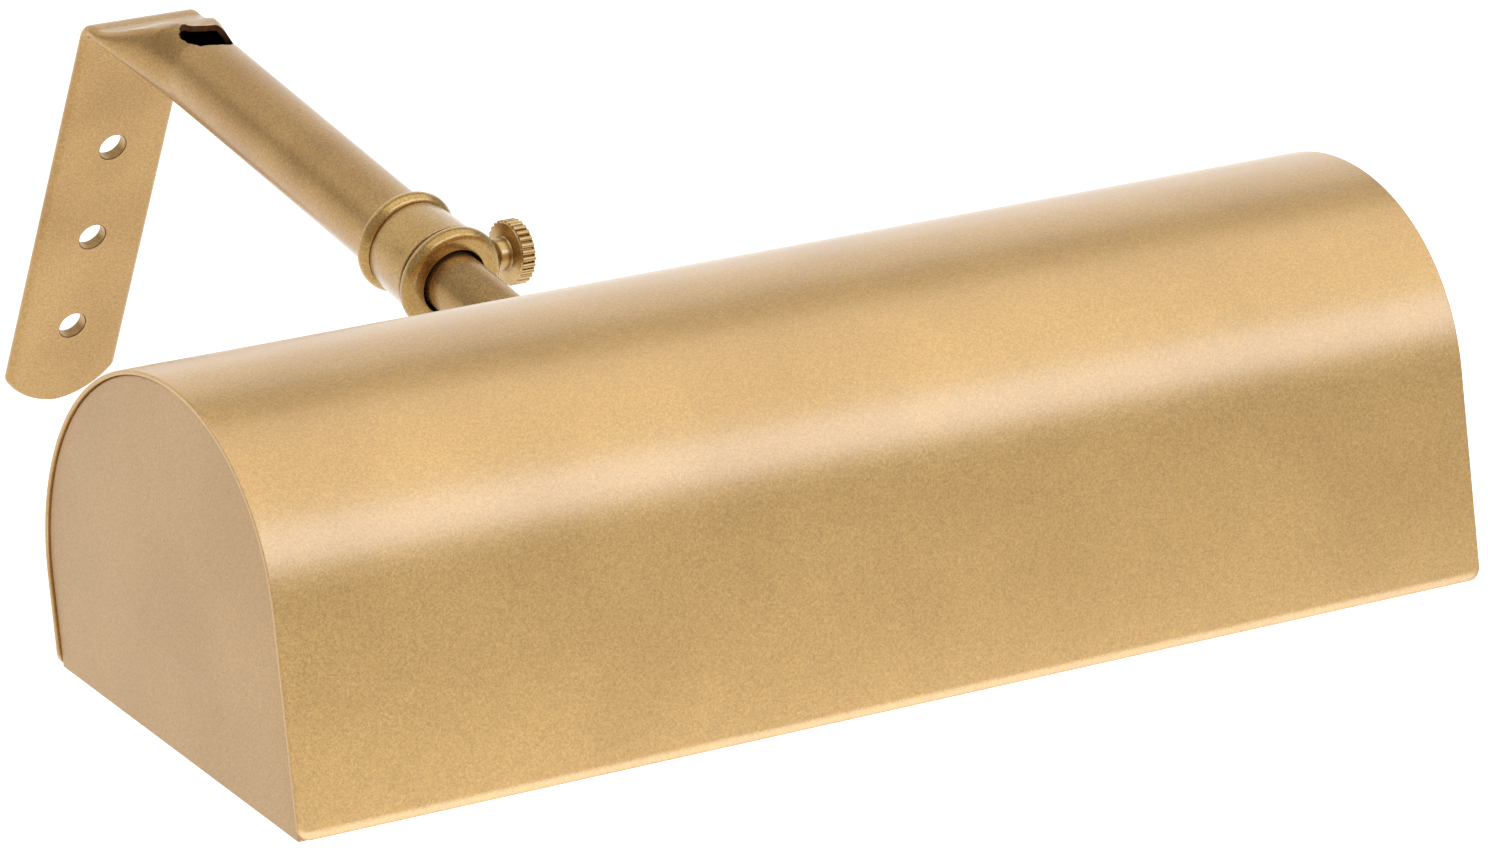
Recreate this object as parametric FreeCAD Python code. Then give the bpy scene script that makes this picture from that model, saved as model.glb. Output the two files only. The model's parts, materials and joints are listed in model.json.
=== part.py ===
import FreeCAD, Part
import math
import os

# A picture light: a drilled strap and telescopic arm, a swivel, and a half-round shade with its lamp.
# Millimetres and degrees. +Z is up, +X runs along the shade and -Y points out over the picture.
# The origin is the strap's middle screw hole, on the face that lies against the picture frame's back.

# Shade: rolled sheet, a half-round arch on two straight skirts of different depth
shade_length = 228.6
arch_radius = 35.0
sheet = 0.8
rear_skirt = 14.4
front_skirt = 35.1
skirt_corner = 2.0
end_inset = 0.8
end_flange = 6.0
shade_lean = 33.8            # how far the skirts lean from upright as the light is shown
swivel_height_angle = 7.2    # the swivel's place on the arch, above the shade's own horizontal

# Strap: the flattened and bent end of the arm tube
strap_width = 22.7
strap_thickness = 2.3
hole_radius = 2.65
hole_spacing = 20.4
top_hole_to_bend = 27.7
low_hole_to_end = 17.2
strap_end_radius = 13.7
strap_end_corner = 2.0
bend_inside = 1.5
arm_rise = 10.4

# Inner arm, which the outer arm, collar and swivel are fitted to
inner_radius = 5.4
inner_wall = 0.8
reach = 50.4                 # from the collar's front face to the swivel's pin, as shown
slide_out = 27.0
bush_length = 8.0
bush_wall = 0.75
bush_clearance = 0.05
stop_margin = 1.0

# Outer arm tube
tube_wall = 1.15
tube_bore = inner_radius + bush_wall + bush_clearance
tube_radius = tube_bore + tube_wall
tube_lift = 0.4              # the tube's axis stands this far above the flat stock's middle
flat_length = 3.8            # from the bend to where the flattening starts to open
taper_length = 20.0
seam_gap = 0.1               # half the slit left inside where the flattened walls meet
seam_start = 1.0
cord_hole_radius = 5.2
cord_hole_from_bend = 22.0
arm_length = 107.7           # from the bend to the collar's front face

# Collar
collar_length = 17.6
collar_front_wall = 1.75
collar_rear_wall = 1.5
collar_front_radius = tube_radius + collar_front_wall
collar_rear_radius = tube_radius + collar_rear_wall
bead_rise = 0.55
front_bead = 2.4
front_bead_crown = 0.6       # the crown's place, as a share of the front bead's length
rear_bead = 3.2
collar_lip = 0.6
slide_gap = 0.6
collar_bore = inner_radius + slide_gap
mouth_chamfer = 0.2
tube_seat = 7.6

# Thumbscrew
screw_from_front = 6.5
screw_radius = 2.0
screw_clearance = 0.05
thumb_head_radius = 5.75
thumb_head = 3.1
thumb_head_chamfer = 0.25
thumb_head_standoff = 4.9    # from the collar to the head's inner face
thumb_neck_radius = 2.9
thumb_neck = 2.4
pad_thickness = 0.8
pad_gap = 0.1

# Swivel
tongue_width = 9.0
knuckle_proud = 1.1          # the knuckle's radius beyond the inner tube's
knuckle_radius = inner_radius + knuckle_proud
neck_beyond_knuckle = 1.1
tongue_neck = knuckle_radius + neck_beyond_knuckle
tongue_spigot = 9.0
cord_way = 3.0
slot_behind_pin = 2.0
fibre_washer = 0.4
fibre_inset = 0.3
side_play = 0.1
ear = 2.5
fork_base = 2.2
fork_base_land = 1.0         # the fork's base beyond its ears
knuckle_gap = 0.7
pin_radius = 1.6
pin_clearance = 0.05
pin_head_radius = 2.8
pin_head = 1.6

# Nipple and what it clamps
saddle = 1.4
inner_saddle = 1.6
nipple_radius = 4.8
nipple_wall = 1.3
nipple_bore = nipple_radius - nipple_wall
wall_hole_clearance = 0.2
washer_land = 3.2
washer_radius = nipple_radius + washer_land
lock_washer = 1.2
lock_washer_land = 2.4
nut_land = 2.2
nut_across_flats = 2 * (nipple_radius + nut_land)
nut_thickness = 3.0
nipple_stick_out = 1.4
bushing_flange = 1.5
bushing_land = 1.4
bushing_wall = 0.7
bushing_depth = 4.0

# Lampholder and its strap
holder_strap_land = 2.2
holder_strap_width = 2 * (nipple_radius + holder_strap_land)
holder_strap = 1.5
holder_strap_overhang = nipple_radius + 4.2
holder_plane = 80.0          # from the shade's middle to the lampholder's back
holder_floor = 11.0
holder_wall = 3.7
holder_corner = 2.0
holder_lip = 2.0
contact_radius = 4.0
contact_thickness = 0.8
contact_space = 2.0
holder_screw_radius = 2.0
holder_screw_head_radius = 3.8
holder_screw_head = 2.0
holder_screw_depth = 7.0
holder_screw_slot = 1.0
holder_screw_slot_depth = 0.8
holder_strap_end = 9.0

# Bulb, which the lampholder is fitted to
bulb_cap_radius = 13.1
bulb_cap_length = 20.0
bulb_cap_wall = 0.5
bulb_cap_corner = 3.0
bulb_cap_corner_in = 2.0
insulator_height = 2.6
insulator_spread = 4.0
insulator_plug = 2.0
bulb_tip_radius = 4.5
bulb_tip = 1.4
bulb_tip_edge = 1.0
bulb_length = 140.0
bulb_radius = 16.0
bulb_shoulder = 16.0
shoulder_ease = 0.13         # how gently the shoulder's two arcs start and end, as a share of its swell
glass = 0.8
glass_in_cap = 6.0
glass_gap = 0.2
bulb_neck_radius = bulb_cap_radius - bulb_cap_wall - glass_gap
stem_radius = 4.0
stem_length = 34.0
stem_flare = 8.0
stem_foot = 2.0              # from the glass's edge to the foot that closes it
support_radius = 0.35
support_reach = 7.0
support_step = 24.0
support_tail = 1.0
filament_radius = 0.3
thread_gap = 0.2
thread_wall = 0.5
thread_beyond_cap = 1.0
thread_inside = bulb_cap_radius + thread_gap
thread_length = bulb_cap_length + thread_beyond_cap
holder_radius = thread_inside + thread_wall + holder_wall
holder_length = holder_floor + thread_length + holder_lip

# Leads of the lampholder
lead_radius = 1.1
lead_bend = 6.0
lead_depth = 4.0
lead_beside_strap = 3.5
lead_offset = holder_strap_width / 2 + lead_beside_strap
lead_loop = 7.0              # from the lampholder's back to where the first lead turns
lead_loop_step = 3.0
splice_radius = 3.0
splice_length = 14.0
splice_overlap = 4.0
splice_wall_gap = 1.2
splice_gap = 0.6
splice_drop = 9.5            # the outer splice cap's place below the arch's axis
splice_rise = 1.0
splice_from_nut = 14.0

V = FreeCAD.Vector
X_AXIS = V(1, 0, 0)
NO_TURN = FreeCAD.Rotation()


def frame(origin, turn_about_x):
    """A placement that turns about X and then moves to origin."""
    return FreeCAD.Placement(origin, FreeCAD.Rotation(X_AXIS, turn_about_x))


# Derived places
bend_turn = 90.0 - arm_rise
bend_middle = bend_inside + strap_thickness / 2
bend_tangent = bend_middle * math.tan(math.radians(bend_turn / 2))
bend_point = V(0, strap_thickness / 2, hole_spacing + top_hole_to_bend)
flat_half = (strap_width - strap_thickness) / 2
round_from = flat_length + taper_length

# The arm's own frame: x along the shade, y up from the arm, z forward along the tube's axis from the bend
ARM = frame(bend_point, bend_turn).multiply(FreeCAD.Placement(V(0, tube_lift, 0), NO_TURN))
collar_front = arm_length
collar_rear = arm_length - collar_length
tube_front = collar_rear + tube_seat
screw_place = arm_length - screw_from_front
pin_place = arm_length + reach
inner_front = pin_place - tongue_neck
bush_front = tube_front - slide_out - stop_margin
inner_rear = bush_front - bush_length
pad_inner = inner_radius + pad_gap
thumb_head_inner = collar_front_radius + thumb_head_standoff

# The swivel's stack, as distances from the arch's axis
shell_inside = arch_radius - sheet
base_seat = arch_radius + saddle
base_top = base_seat + fork_base
pin_distance = base_top + knuckle_gap + knuckle_radius
strap_seat = shell_inside - inner_saddle
washer_seat = strap_seat - holder_strap
nut_seat = washer_seat - lock_washer
nut_end = nut_seat - nut_thickness
nipple_end = nut_end - nipple_stick_out
washer_inside = tongue_width / 2
ear_inside = washer_inside + fibre_washer
ear_outside = ear_inside + side_play + ear
fork_base_radius = ear_outside + fork_base_land

# The shade's own frame: x along it, y to the rear, z up the skirts, from the arch's axis at mid-length
SWIVEL_RADIAL = V(0, math.cos(math.radians(swivel_height_angle)), math.sin(math.radians(swivel_height_angle)))
pin_point = ARM.multVec(V(0, 0, pin_place))
shade_turn = FreeCAD.Rotation(X_AXIS, -shade_lean)
arch_centre = pin_point - shade_turn.multVec(SWIVEL_RADIAL * pin_distance)
SHADE = frame(arch_centre, -shade_lean)
# The nipple's own frame: z points outwards from the arch's axis through the swivel's pin
NIPPLE = SHADE.multiply(frame(V(0, 0, 0), swivel_height_angle - 90.0))
# Turned pieces of the lamp: their own z runs along the shade's +x from the lampholder's back
LAMP = SHADE.multiply(FreeCAD.Placement(V(-holder_plane, 0, 0), FreeCAD.Rotation(V(0, 1, 0), 90)))
cap_start = holder_floor + contact_thickness + bulb_tip + insulator_height
glass_start = cap_start + bulb_cap_length - glass_in_cap
bulb_end = holder_floor + contact_thickness + bulb_length


def placed(shape, place):
    """A copy of a shape made in one of the frames above, put into the light's frame."""
    copy = shape.copy()
    copy.Placement = place.multiply(shape.Placement)
    return copy


def rod(radius, low, high, x=0.0, y=0.0):
    """A cylinder along z."""
    return Part.makeCylinder(radius, high - low, V(x, y, low))


def ring(outside, inside, low, high):
    return rod(outside, low, high).cut(rod(inside, low - 1, high + 1))


def cross_rod(radius, low, high, z):
    """A cylinder along x that crosses the z axis."""
    return Part.makeCylinder(radius, high - low, V(low, 0, z), X_AXIS)


def block(low, high):
    return Part.makeBox(high[0] - low[0], high[1] - low[1], high[2] - low[2], V(*low))


def turned(edges):
    """A solid turned about z from edges that lie in the xz plane."""
    face = Part.Face(Part.Wire(edges))
    return face.revolve(V(0, 0, 0), V(0, 0, 1), 360)


def line(start, end):
    return Part.makeLine(start, end)


def arc(start, middle, end):
    return Part.Arc(start, middle, end).toShape()


def polygon(points):
    return [line(a, b) for a, b in zip(points, points[1:] + points[:1])]


def turned_outline(points):
    """A solid turned about z from (radius, z) corners."""
    return turned(polygon([V(r, 0, z) for r, z in points]))


def stadium(half_straight, radius, y, z):
    """The outline of flattened tube: two straight runs along x joined by half-round edges."""
    a, b = half_straight, radius
    return Part.Wire([
        line(V(-a, y + b, z), V(a, y + b, z)),
        arc(V(a, y + b, z), V(a + b, y, z), V(a, y - b, z)),
        line(V(a, y - b, z), V(-a, y - b, z)),
        arc(V(-a, y - b, z), V(-a - b, y, z), V(-a, y + b, z)),
    ])


def split_circle(radius, z):
    """A circle in four stretches that meet a stadium's four, so that a loft runs straight between them."""
    def at(angle):
        return V(radius * math.cos(math.radians(angle)), radius * math.sin(math.radians(angle)), z)
    return Part.Wire([
        arc(at(120), at(90), at(60)),
        arc(at(60), at(0), at(-60)),
        arc(at(-60), at(-90), at(-120)),
        arc(at(-120), at(-180), at(-240)),
    ])


def round_to_flat(radius, half_thickness, flat_at):
    """The stretch where round tube turns into flat stock."""
    flat = stadium(flat_half, half_thickness, -tube_lift, flat_at)
    return Part.makeLoft([flat, split_circle(radius, round_from)], True, True)


def strap():
    """The flat, drilled end that hangs down from the bend, in the light's own frame."""
    top = bend_point.z - bend_tangent
    bottom = -hole_spacing - low_hole_to_end
    half = strap_width / 2
    corner = strap_end_corner
    corner_x = half - corner
    middle = bottom + strap_end_radius
    shoulder = middle - math.sqrt((strap_end_radius - corner) ** 2 - corner_x ** 2)
    lean = math.atan2(middle - shoulder, corner_x)
    touch_x = strap_end_radius * math.cos(lean)
    touch_z = middle - strap_end_radius * math.sin(lean)
    nick_x = corner_x + corner * math.cos(lean / 2)
    nick_z = shoulder - corner * math.sin(lean / 2)
    outline = Part.Wire([
        line(V(-half, 0, top), V(-half, 0, shoulder)),
        arc(V(-half, 0, shoulder), V(-nick_x, 0, nick_z), V(-touch_x, 0, touch_z)),
        arc(V(-touch_x, 0, touch_z), V(0, 0, bottom), V(touch_x, 0, touch_z)),
        arc(V(touch_x, 0, touch_z), V(nick_x, 0, nick_z), V(half, 0, shoulder)),
        line(V(half, 0, shoulder), V(half, 0, top)),
        line(V(half, 0, top), V(-half, 0, top)),
    ])
    plate = Part.Face(outline).extrude(V(0, strap_thickness, 0))
    rolled = Part.Face(stadium(flat_half, strap_thickness / 2, strap_thickness / 2, bottom))
    return plate.common(rolled.extrude(V(0, 0, top - bottom)))


def screw_hole(z):
    return Part.makeCylinder(hole_radius, strap_thickness + 2, V(0, -1, z), V(0, 1, 0))


def bracket_arm():
    """One tube: round at the front, then flattened, bent down and drilled."""
    section = Part.Face(stadium(flat_half, strap_thickness / 2, -tube_lift, bend_tangent))
    bend_axis = V(0, -tube_lift - bend_middle, bend_tangent)
    bend = section.revolve(bend_axis, X_AXIS, -bend_turn)
    flat = section.extrude(V(0, 0, flat_length - bend_tangent))
    tube = flat.fuse([
        bend,
        round_to_flat(tube_radius, strap_thickness / 2, flat_length),
        rod(tube_radius, round_from, tube_front),
    ])
    flattened_inside = round_to_flat(tube_bore, seam_gap, flat_length + seam_start)
    tube = tube.cut([flattened_inside, rod(tube_bore, round_from, tube_front + 1)])
    cord_hole = Part.makeCylinder(cord_hole_radius, tube_radius + 1, V(0, 0, cord_hole_from_bend), V(0, 1, 0))
    tube = placed(tube.cut(cord_hole), ARM)
    holes = [screw_hole(i * hole_spacing) for i in (-1, 0, 1)]
    return tube.fuse(strap().cut(holes)).removeSplitter()


def arm_collar():
    """Turned collar on the tube's front end, with a bead at each end and a plain face round its bore."""
    front_top = collar_front_radius + bead_rise
    rear_top = collar_rear_radius + bead_rise
    front_edge = collar_front - front_bead
    rear_edge = collar_rear + rear_bead
    lip = collar_front_radius - collar_lip
    crown = collar_front - front_bead_crown * front_bead
    outline = [
        line(V(tube_radius, 0, collar_rear), V(collar_rear_radius, 0, collar_rear)),
        arc(V(collar_rear_radius, 0, collar_rear), V(rear_top, 0, (collar_rear + rear_edge) / 2),
            V(collar_rear_radius, 0, rear_edge)),
        line(V(collar_rear_radius, 0, rear_edge), V(collar_front_radius, 0, front_edge)),
        arc(V(collar_front_radius, 0, front_edge), V(front_top, 0, crown), V(lip, 0, collar_front)),
        line(V(lip, 0, collar_front), V(collar_bore + mouth_chamfer, 0, collar_front)),
        line(V(collar_bore + mouth_chamfer, 0, collar_front),
             V(collar_bore, 0, collar_front - mouth_chamfer)),
        line(V(collar_bore, 0, collar_front - mouth_chamfer), V(collar_bore, 0, tube_front)),
        line(V(collar_bore, 0, tube_front), V(tube_radius, 0, tube_front)),
        line(V(tube_radius, 0, tube_front), V(tube_radius, 0, collar_rear)),
    ]
    tapped = cross_rod(screw_radius + screw_clearance, 0, collar_front_radius + 1, screw_place)
    return placed(turned(outline).cut(tapped), ARM)


def thumbscrew():
    """Shank, stepped neck and round head on one axis across the arm. The knurl is cut in its rim later."""
    shank = cross_rod(screw_radius, pad_inner + pad_thickness, thumb_head_inner, screw_place)
    neck = cross_rod(thumb_neck_radius, thumb_head_inner - thumb_neck, thumb_head_inner, screw_place)
    head = cross_rod(thumb_head_radius, thumb_head_inner, thumb_head_inner + thumb_head, screw_place)
    rims = [e for e in head.Edges if abs(e.Length - 2 * math.pi * thumb_head_radius) < 1e-3]
    return placed(shank.fuse([neck, head.makeChamfer(thumb_head_chamfer, rims)]), ARM)


def thumbscrew_pad():
    """Soft pad between the screw's tip and the inner tube."""
    return placed(cross_rod(screw_radius - pad_gap, pad_inner, pad_inner + pad_thickness, screw_place), ARM)


def inner_tube():
    return placed(ring(inner_radius, inner_radius - inner_wall, inner_rear, inner_front), ARM)


def inner_tube_bush():
    """Bush on the inner tube's rear end: it runs in the outer tube and stops against the collar."""
    return placed(ring(tube_bore - bush_clearance, inner_radius, inner_rear, bush_front), ARM)


def swivel_tongue():
    """Hollow knuckle with a spigot in the inner tube, open in front so that a cord can bend."""
    half = tongue_width / 2
    reach_back = inner_front - tongue_spigot
    knuckle = cross_rod(knuckle_radius, -half, half, pin_place)
    neck = block((-half, -inner_radius, inner_front), (half, inner_radius, pin_place))
    round_neck = neck.common(rod(inner_radius, inner_front, pin_place))
    spigot = rod(inner_radius - inner_wall, reach_back, inner_front)
    solid = knuckle.fuse([round_neck, spigot])
    cord_slot = block((-cord_way, -knuckle_radius - 1, pin_place - slot_behind_pin),
                      (cord_way, knuckle_radius + 1, pin_place + knuckle_radius + 1))
    bore = rod(cord_way, reach_back - 1, pin_place)
    pin_holes = cross_rod(pin_radius, -half - 1, half + 1, pin_place)
    return placed(solid.cut([cord_slot, bore, pin_holes]), ARM)


def both_sides(low, high, make):
    """The same round piece on the left and right of the swivel, as one shape."""
    return Part.makeCompound([make(-high, -low), make(low, high)])


def swivel_washers():
    def one(low, high):
        washer = cross_rod(knuckle_radius - fibre_inset, low, high, pin_place)
        return washer.cut(cross_rod(pin_radius, low - 1, high + 1, pin_place))
    return placed(both_sides(washer_inside, ear_inside, one), ARM)


def swivel_screws():
    """Two short shoulder screws: threaded in the tongue's cheeks, with the ears turning on them."""
    head_at = ear_outside + side_play
    sides = []
    for side in (-1, 1):
        ends = sorted((side * cord_way, side * head_at))
        head = sorted((side * head_at, side * (head_at + pin_head)))
        shank = cross_rod(pin_radius, *ends, pin_place)
        sides.append(shank.fuse(cross_rod(pin_head_radius, *head, pin_place)))
    return placed(Part.makeCompound(sides), ARM)


def swivel_fork():
    """Two ears on a round base. Its frame's z runs from the arch's axis to the pin."""
    solid = rod(fork_base_radius, base_seat, base_top)
    for low, high in ((-ear_outside, -ear_inside - side_play), (ear_inside + side_play, ear_outside)):
        leg = block((low, -knuckle_radius, base_seat), (high, knuckle_radius, pin_distance))
        inside_base = leg.common(rod(fork_base_radius, base_seat, pin_distance))
        solid = solid.fuse([inside_base, cross_rod(knuckle_radius, low, high, pin_distance)])
    solid = solid.cut(cross_rod(pin_radius + pin_clearance, -ear_outside - 1, ear_outside + 1, pin_distance))
    return placed(solid.cut(rod(nipple_radius, base_seat - 1, base_top + 1)), NIPPLE)


def shade_outline(offset, close):
    """The shade's cross-section, set in by offset: rear skirt, arch, front skirt, closed along the mouth."""
    r = arch_radius - offset
    edges = [
        line(V(0, r, -rear_skirt), V(0, r, 0)),
        arc(V(0, r, 0), V(0, 0, r), V(0, -r, 0)),
        line(V(0, -r, 0), V(0, -r, -front_skirt)),
    ]
    if close:
        edges.append(line(V(0, -r, -front_skirt), V(0, r, -rear_skirt)))
    return edges


def shade_solid(offset, half_length):
    """The space under the shade's section, as a solid along x."""
    face = Part.Face(Part.Wire(shade_outline(offset, True)))
    face.translate(V(-half_length, 0, 0))
    return face.extrude(V(2 * half_length, 0, 0))


def nipple_disc(radius, low, high):
    """A disc on the nipple's axis, given in the shade's own frame."""
    return placed(rod(radius, low, high), SHADE.inverse().multiply(NIPPLE))


def shade_shell():
    """Rolled sheet with the nipple's hole in it and its four lower corners rounded."""
    half = shade_length / 2
    inner = shade_outline(sheet, False)
    outer = shade_outline(0, False)
    ends = [line(outer[0].Vertexes[0].Point, inner[0].Vertexes[0].Point),
            line(outer[2].Vertexes[1].Point, inner[2].Vertexes[1].Point)]
    face = Part.Face(Part.Wire(Part.__sortEdges__(outer + inner + ends)))
    face.translate(V(-half, 0, 0))
    shell = face.extrude(V(shade_length, 0, 0))
    corners = [e for e in shell.Edges
               if abs(e.Length - sheet) < 1e-3 and abs(abs(e.CenterOfMass.x) - half) < 1e-3]
    shell = shell.makeFillet(skirt_corner, corners)
    hole = nipple_disc(nipple_radius + wall_hole_clearance, strap_seat, base_seat)
    return placed(shell.cut(hole), SHADE)


def shade_end(side):
    """End plate with a flange turned inwards all round the arch, set just inside the shade's rim."""
    outside = side * (shade_length / 2 - end_inset)
    plate_inside = outside - side * sheet
    flange_inside = outside - side * end_flange

    def slab(offset, first, last):
        low, high = sorted((first, last))
        face = Part.Face(Part.Wire(shade_outline(offset, True)))
        face.translate(V(low, 0, 0))
        return face.extrude(V(high - low, 0, 0))
    cup = slab(sheet, outside, flange_inside).cut(slab(2 * sheet, plate_inside, flange_inside - side))
    # the flange follows the arch and the skirts only, so the mouth side stays open
    drop = 3 * sheet
    mouth = Part.Face(Part.Wire(polygon([
        V(0, -arch_radius, -front_skirt - 5), V(0, arch_radius, -rear_skirt - 5),
        V(0, arch_radius, -rear_skirt + drop), V(0, -arch_radius, -front_skirt + drop)])))
    low, high = sorted((plate_inside, flange_inside - side))
    mouth.translate(V(low, 0, 0))
    return placed(cup.cut(mouth.extrude(V(high - low, 0, 0))), SHADE)


def saddle_washer_outer():
    """Flat towards the fork, hollowed to the shade's curve on the other side."""
    disc = nipple_disc(fork_base_radius, shell_inside - 2, base_seat)
    body = disc.cut(shade_solid(0, shade_length / 2))
    return placed(body.cut(nipple_disc(nipple_radius, strap_seat, base_seat + 1)), SHADE)


def saddle_washer_inner():
    """Crowned to the inside of the shade's curve, and flat towards the lampholder's strap."""
    disc = nipple_disc(washer_radius, strap_seat, arch_radius)
    body = disc.common(shade_solid(sheet, shade_length / 2))
    return placed(body.cut(nipple_disc(nipple_radius, strap_seat - 1, base_seat)), SHADE)


def hollow_nipple():
    return placed(ring(nipple_radius, nipple_bore, nipple_end, base_top), NIPPLE)


def nipple_lock_washer():
    return placed(ring(nipple_radius + lock_washer_land, nipple_radius, nut_seat, washer_seat), NIPPLE)


def nipple_nut():
    corner = nut_across_flats / math.sqrt(3)
    angles = [math.radians(60 * i) for i in range(6)]
    points = [V(corner * math.cos(a), corner * math.sin(a), nut_end) for a in angles]
    hexagon = Part.Face(Part.Wire(polygon(points))).extrude(V(0, 0, nut_thickness))
    return placed(hexagon.cut(rod(nipple_radius, nut_end - 1, nut_seat + 1)), NIPPLE)


def nipple_bushing():
    """Plastic liner that keeps a cord off the nipple's edge."""
    flange = rod(nipple_radius + bushing_land, nipple_end - bushing_flange, nipple_end)
    liner = rod(nipple_bore, nipple_end, nipple_end + bushing_depth)
    bore = rod(nipple_bore - bushing_wall, nipple_end - bushing_flange - 1, nipple_end + bushing_depth + 1)
    return placed(flange.fuse(liner).cut(bore), NIPPLE)


def socket_strap():
    """Steel strap: along the shade from the nipple, then turned in across the end of the lampholder."""
    half = holder_strap_width / 2
    back = -holder_plane
    along = block((back - holder_strap, -half, washer_seat), (holder_strap_overhang, half, strap_seat))
    down = block((back - holder_strap, -half, -holder_strap_end), (back, half, strap_seat))
    solid = along.fuse(down).removeSplitter()
    bend = [e for e in solid.Edges if e.Length > holder_strap_width - 0.01
            and e.CenterOfMass.isEqual(V(back - holder_strap, 0, strap_seat), 1e-3)]
    solid = solid.makeFillet(holder_strap, bend)
    nipple_hole = rod(nipple_radius, washer_seat - 1, strap_seat + 1)
    screw_hole_x = cross_rod(holder_screw_radius, back - holder_strap - 1, back + 1, 0)
    return placed(solid.cut([nipple_hole, screw_hole_x]), NIPPLE)


def lead_entry(side):
    """Where a lead enters the lampholder's back, in the shade's frame: to one side of the strap's width."""
    turn = math.radians(swivel_height_angle)
    return V(-holder_plane, side * lead_offset * math.sin(turn), -side * lead_offset * math.cos(turn))


def lampholder_body():
    """Moulded cup with a thick floor."""
    seat = thread_inside + thread_wall
    outline = [(0, 0), (holder_radius - holder_corner, 0), (holder_radius, holder_corner),
               (holder_radius, holder_length), (seat, holder_length), (seat, holder_floor), (0, holder_floor)]
    body = placed(turned_outline(outline), LAMP)
    body = body.cut(placed(rod(holder_screw_radius, -1, holder_screw_depth), LAMP))
    for side in (-1, 1):
        way = Part.makeCylinder(lead_radius, lead_depth + 1, lead_entry(side) - V(1, 0, 0), X_AXIS)
        body = body.cut(placed(way, SHADE))
    return body


def lampholder_shell():
    """Brass thread liner with an open floor for the centre contact."""
    low = holder_floor
    outside = thread_inside + thread_wall
    liner = ring(outside, thread_inside, low, low + thread_length)
    floor = ring(outside, contact_radius + contact_space, low, low + thread_wall)
    return placed(liner.fuse(floor), LAMP)


def lampholder_contact():
    return placed(rod(contact_radius, holder_floor, holder_floor + contact_thickness), LAMP)


def lampholder_screw():
    shank = rod(holder_screw_radius, -holder_strap, holder_screw_depth)
    top = -holder_strap - holder_screw_head
    head = rod(holder_screw_head_radius, top, -holder_strap)
    slot = block((-holder_screw_slot / 2, -holder_screw_head_radius, top - 1),
                 (holder_screw_slot / 2, holder_screw_head_radius, top + holder_screw_slot_depth))
    return placed(shank.fuse(head).cut(slot), LAMP)


def bulb_cap():
    """Screw cap, closed at its back but for the insulator's hole."""
    hole = bulb_tip_radius + insulator_plug
    inside = bulb_cap_radius - bulb_cap_wall
    shoulder = cap_start + bulb_cap_corner
    end = cap_start + bulb_cap_length
    outline = [(hole, cap_start), (bulb_cap_radius - bulb_cap_corner_in, cap_start),
               (bulb_cap_radius, shoulder), (bulb_cap_radius, end), (inside, end), (inside, shoulder),
               (hole, cap_start + bulb_cap_wall)]
    return placed(turned_outline(outline), LAMP)


def bulb_insulator():
    """Black glass between the cap and its tip."""
    low = cap_start - insulator_height
    top = cap_start + bulb_cap_wall
    plug = bulb_tip_radius + insulator_plug
    outline = [(0, low), (bulb_tip_radius, low), (bulb_tip_radius + insulator_spread, cap_start),
               (plug, cap_start), (plug, top), (0, top)]
    return placed(turned_outline(outline), LAMP)


def bulb_contact():
    low = holder_floor + contact_thickness
    return placed(rod(bulb_tip_radius - bulb_tip_edge, low, low + bulb_tip), LAMP)


def glass_outline(inset):
    """The tubular bulb's side, from its neck to its round end, set in by inset."""
    neck = bulb_neck_radius - inset
    body = bulb_radius - inset
    end = bulb_end - inset
    shoulder = glass_start + glass_in_cap
    swell = V((neck + body) / 2, 0, shoulder + bulb_shoulder / 2)
    ease = (body - neck) * shoulder_ease
    low_middle = V(neck + ease, 0, shoulder + bulb_shoulder / 4)
    high_middle = V(body - ease, 0, shoulder + bulb_shoulder * 3 / 4)
    dome = body
    half_way = math.sqrt(0.5)
    return [
        line(V(neck, 0, glass_start), V(neck, 0, shoulder)),
        arc(V(neck, 0, shoulder), low_middle, swell),
        arc(swell, high_middle, V(body, 0, shoulder + bulb_shoulder)),
        line(V(body, 0, shoulder + bulb_shoulder), V(body, 0, end - dome)),
        arc(V(body, 0, end - dome), V(dome * half_way, 0, end - dome * (1 - half_way)), V(0, 0, end)),
    ]


def bulb_glass():
    outer = glass_outline(0)
    inner = glass_outline(glass)
    mouth = line(V(bulb_neck_radius, 0, glass_start), V(bulb_neck_radius - glass, 0, glass_start))
    tip = line(V(0, 0, bulb_end), V(0, 0, bulb_end - glass))
    return placed(turned(Part.__sortEdges__(outer + inner + [mouth, tip])), LAMP)


def bulb_stem():
    """Glass stem: a flared foot inside the neck and a rod that carries the wires."""
    foot = glass_start + stem_foot
    flare = bulb_neck_radius - glass
    outline = [(0, foot), (flare, foot), (flare, foot + glass), (stem_radius, foot + stem_flare),
               (stem_radius, foot + stem_length), (0, foot + stem_length)]
    return placed(turned_outline(outline), LAMP)


def support_heights():
    """Where each side support stands along the bulb."""
    first = glass_start + stem_foot + stem_length + support_tail
    last = bulb_end - bulb_radius
    count = int((last - first) / support_step) + 1
    return [first + support_step * i for i in range(count)]


def bulb_supports():
    """A rod up the bulb's middle with a hook to one side at each step, alternately left and right."""
    heights = support_heights()
    spine = rod(support_radius, heights[0] - support_tail, heights[-1] + support_tail)
    for i, height in enumerate(heights):
        side = 1 if i % 2 else -1
        ends = sorted((0.0, side * support_reach))
        spine = spine.fuse(cross_rod(support_radius, *ends, height))
    return placed(spine, LAMP)


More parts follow.
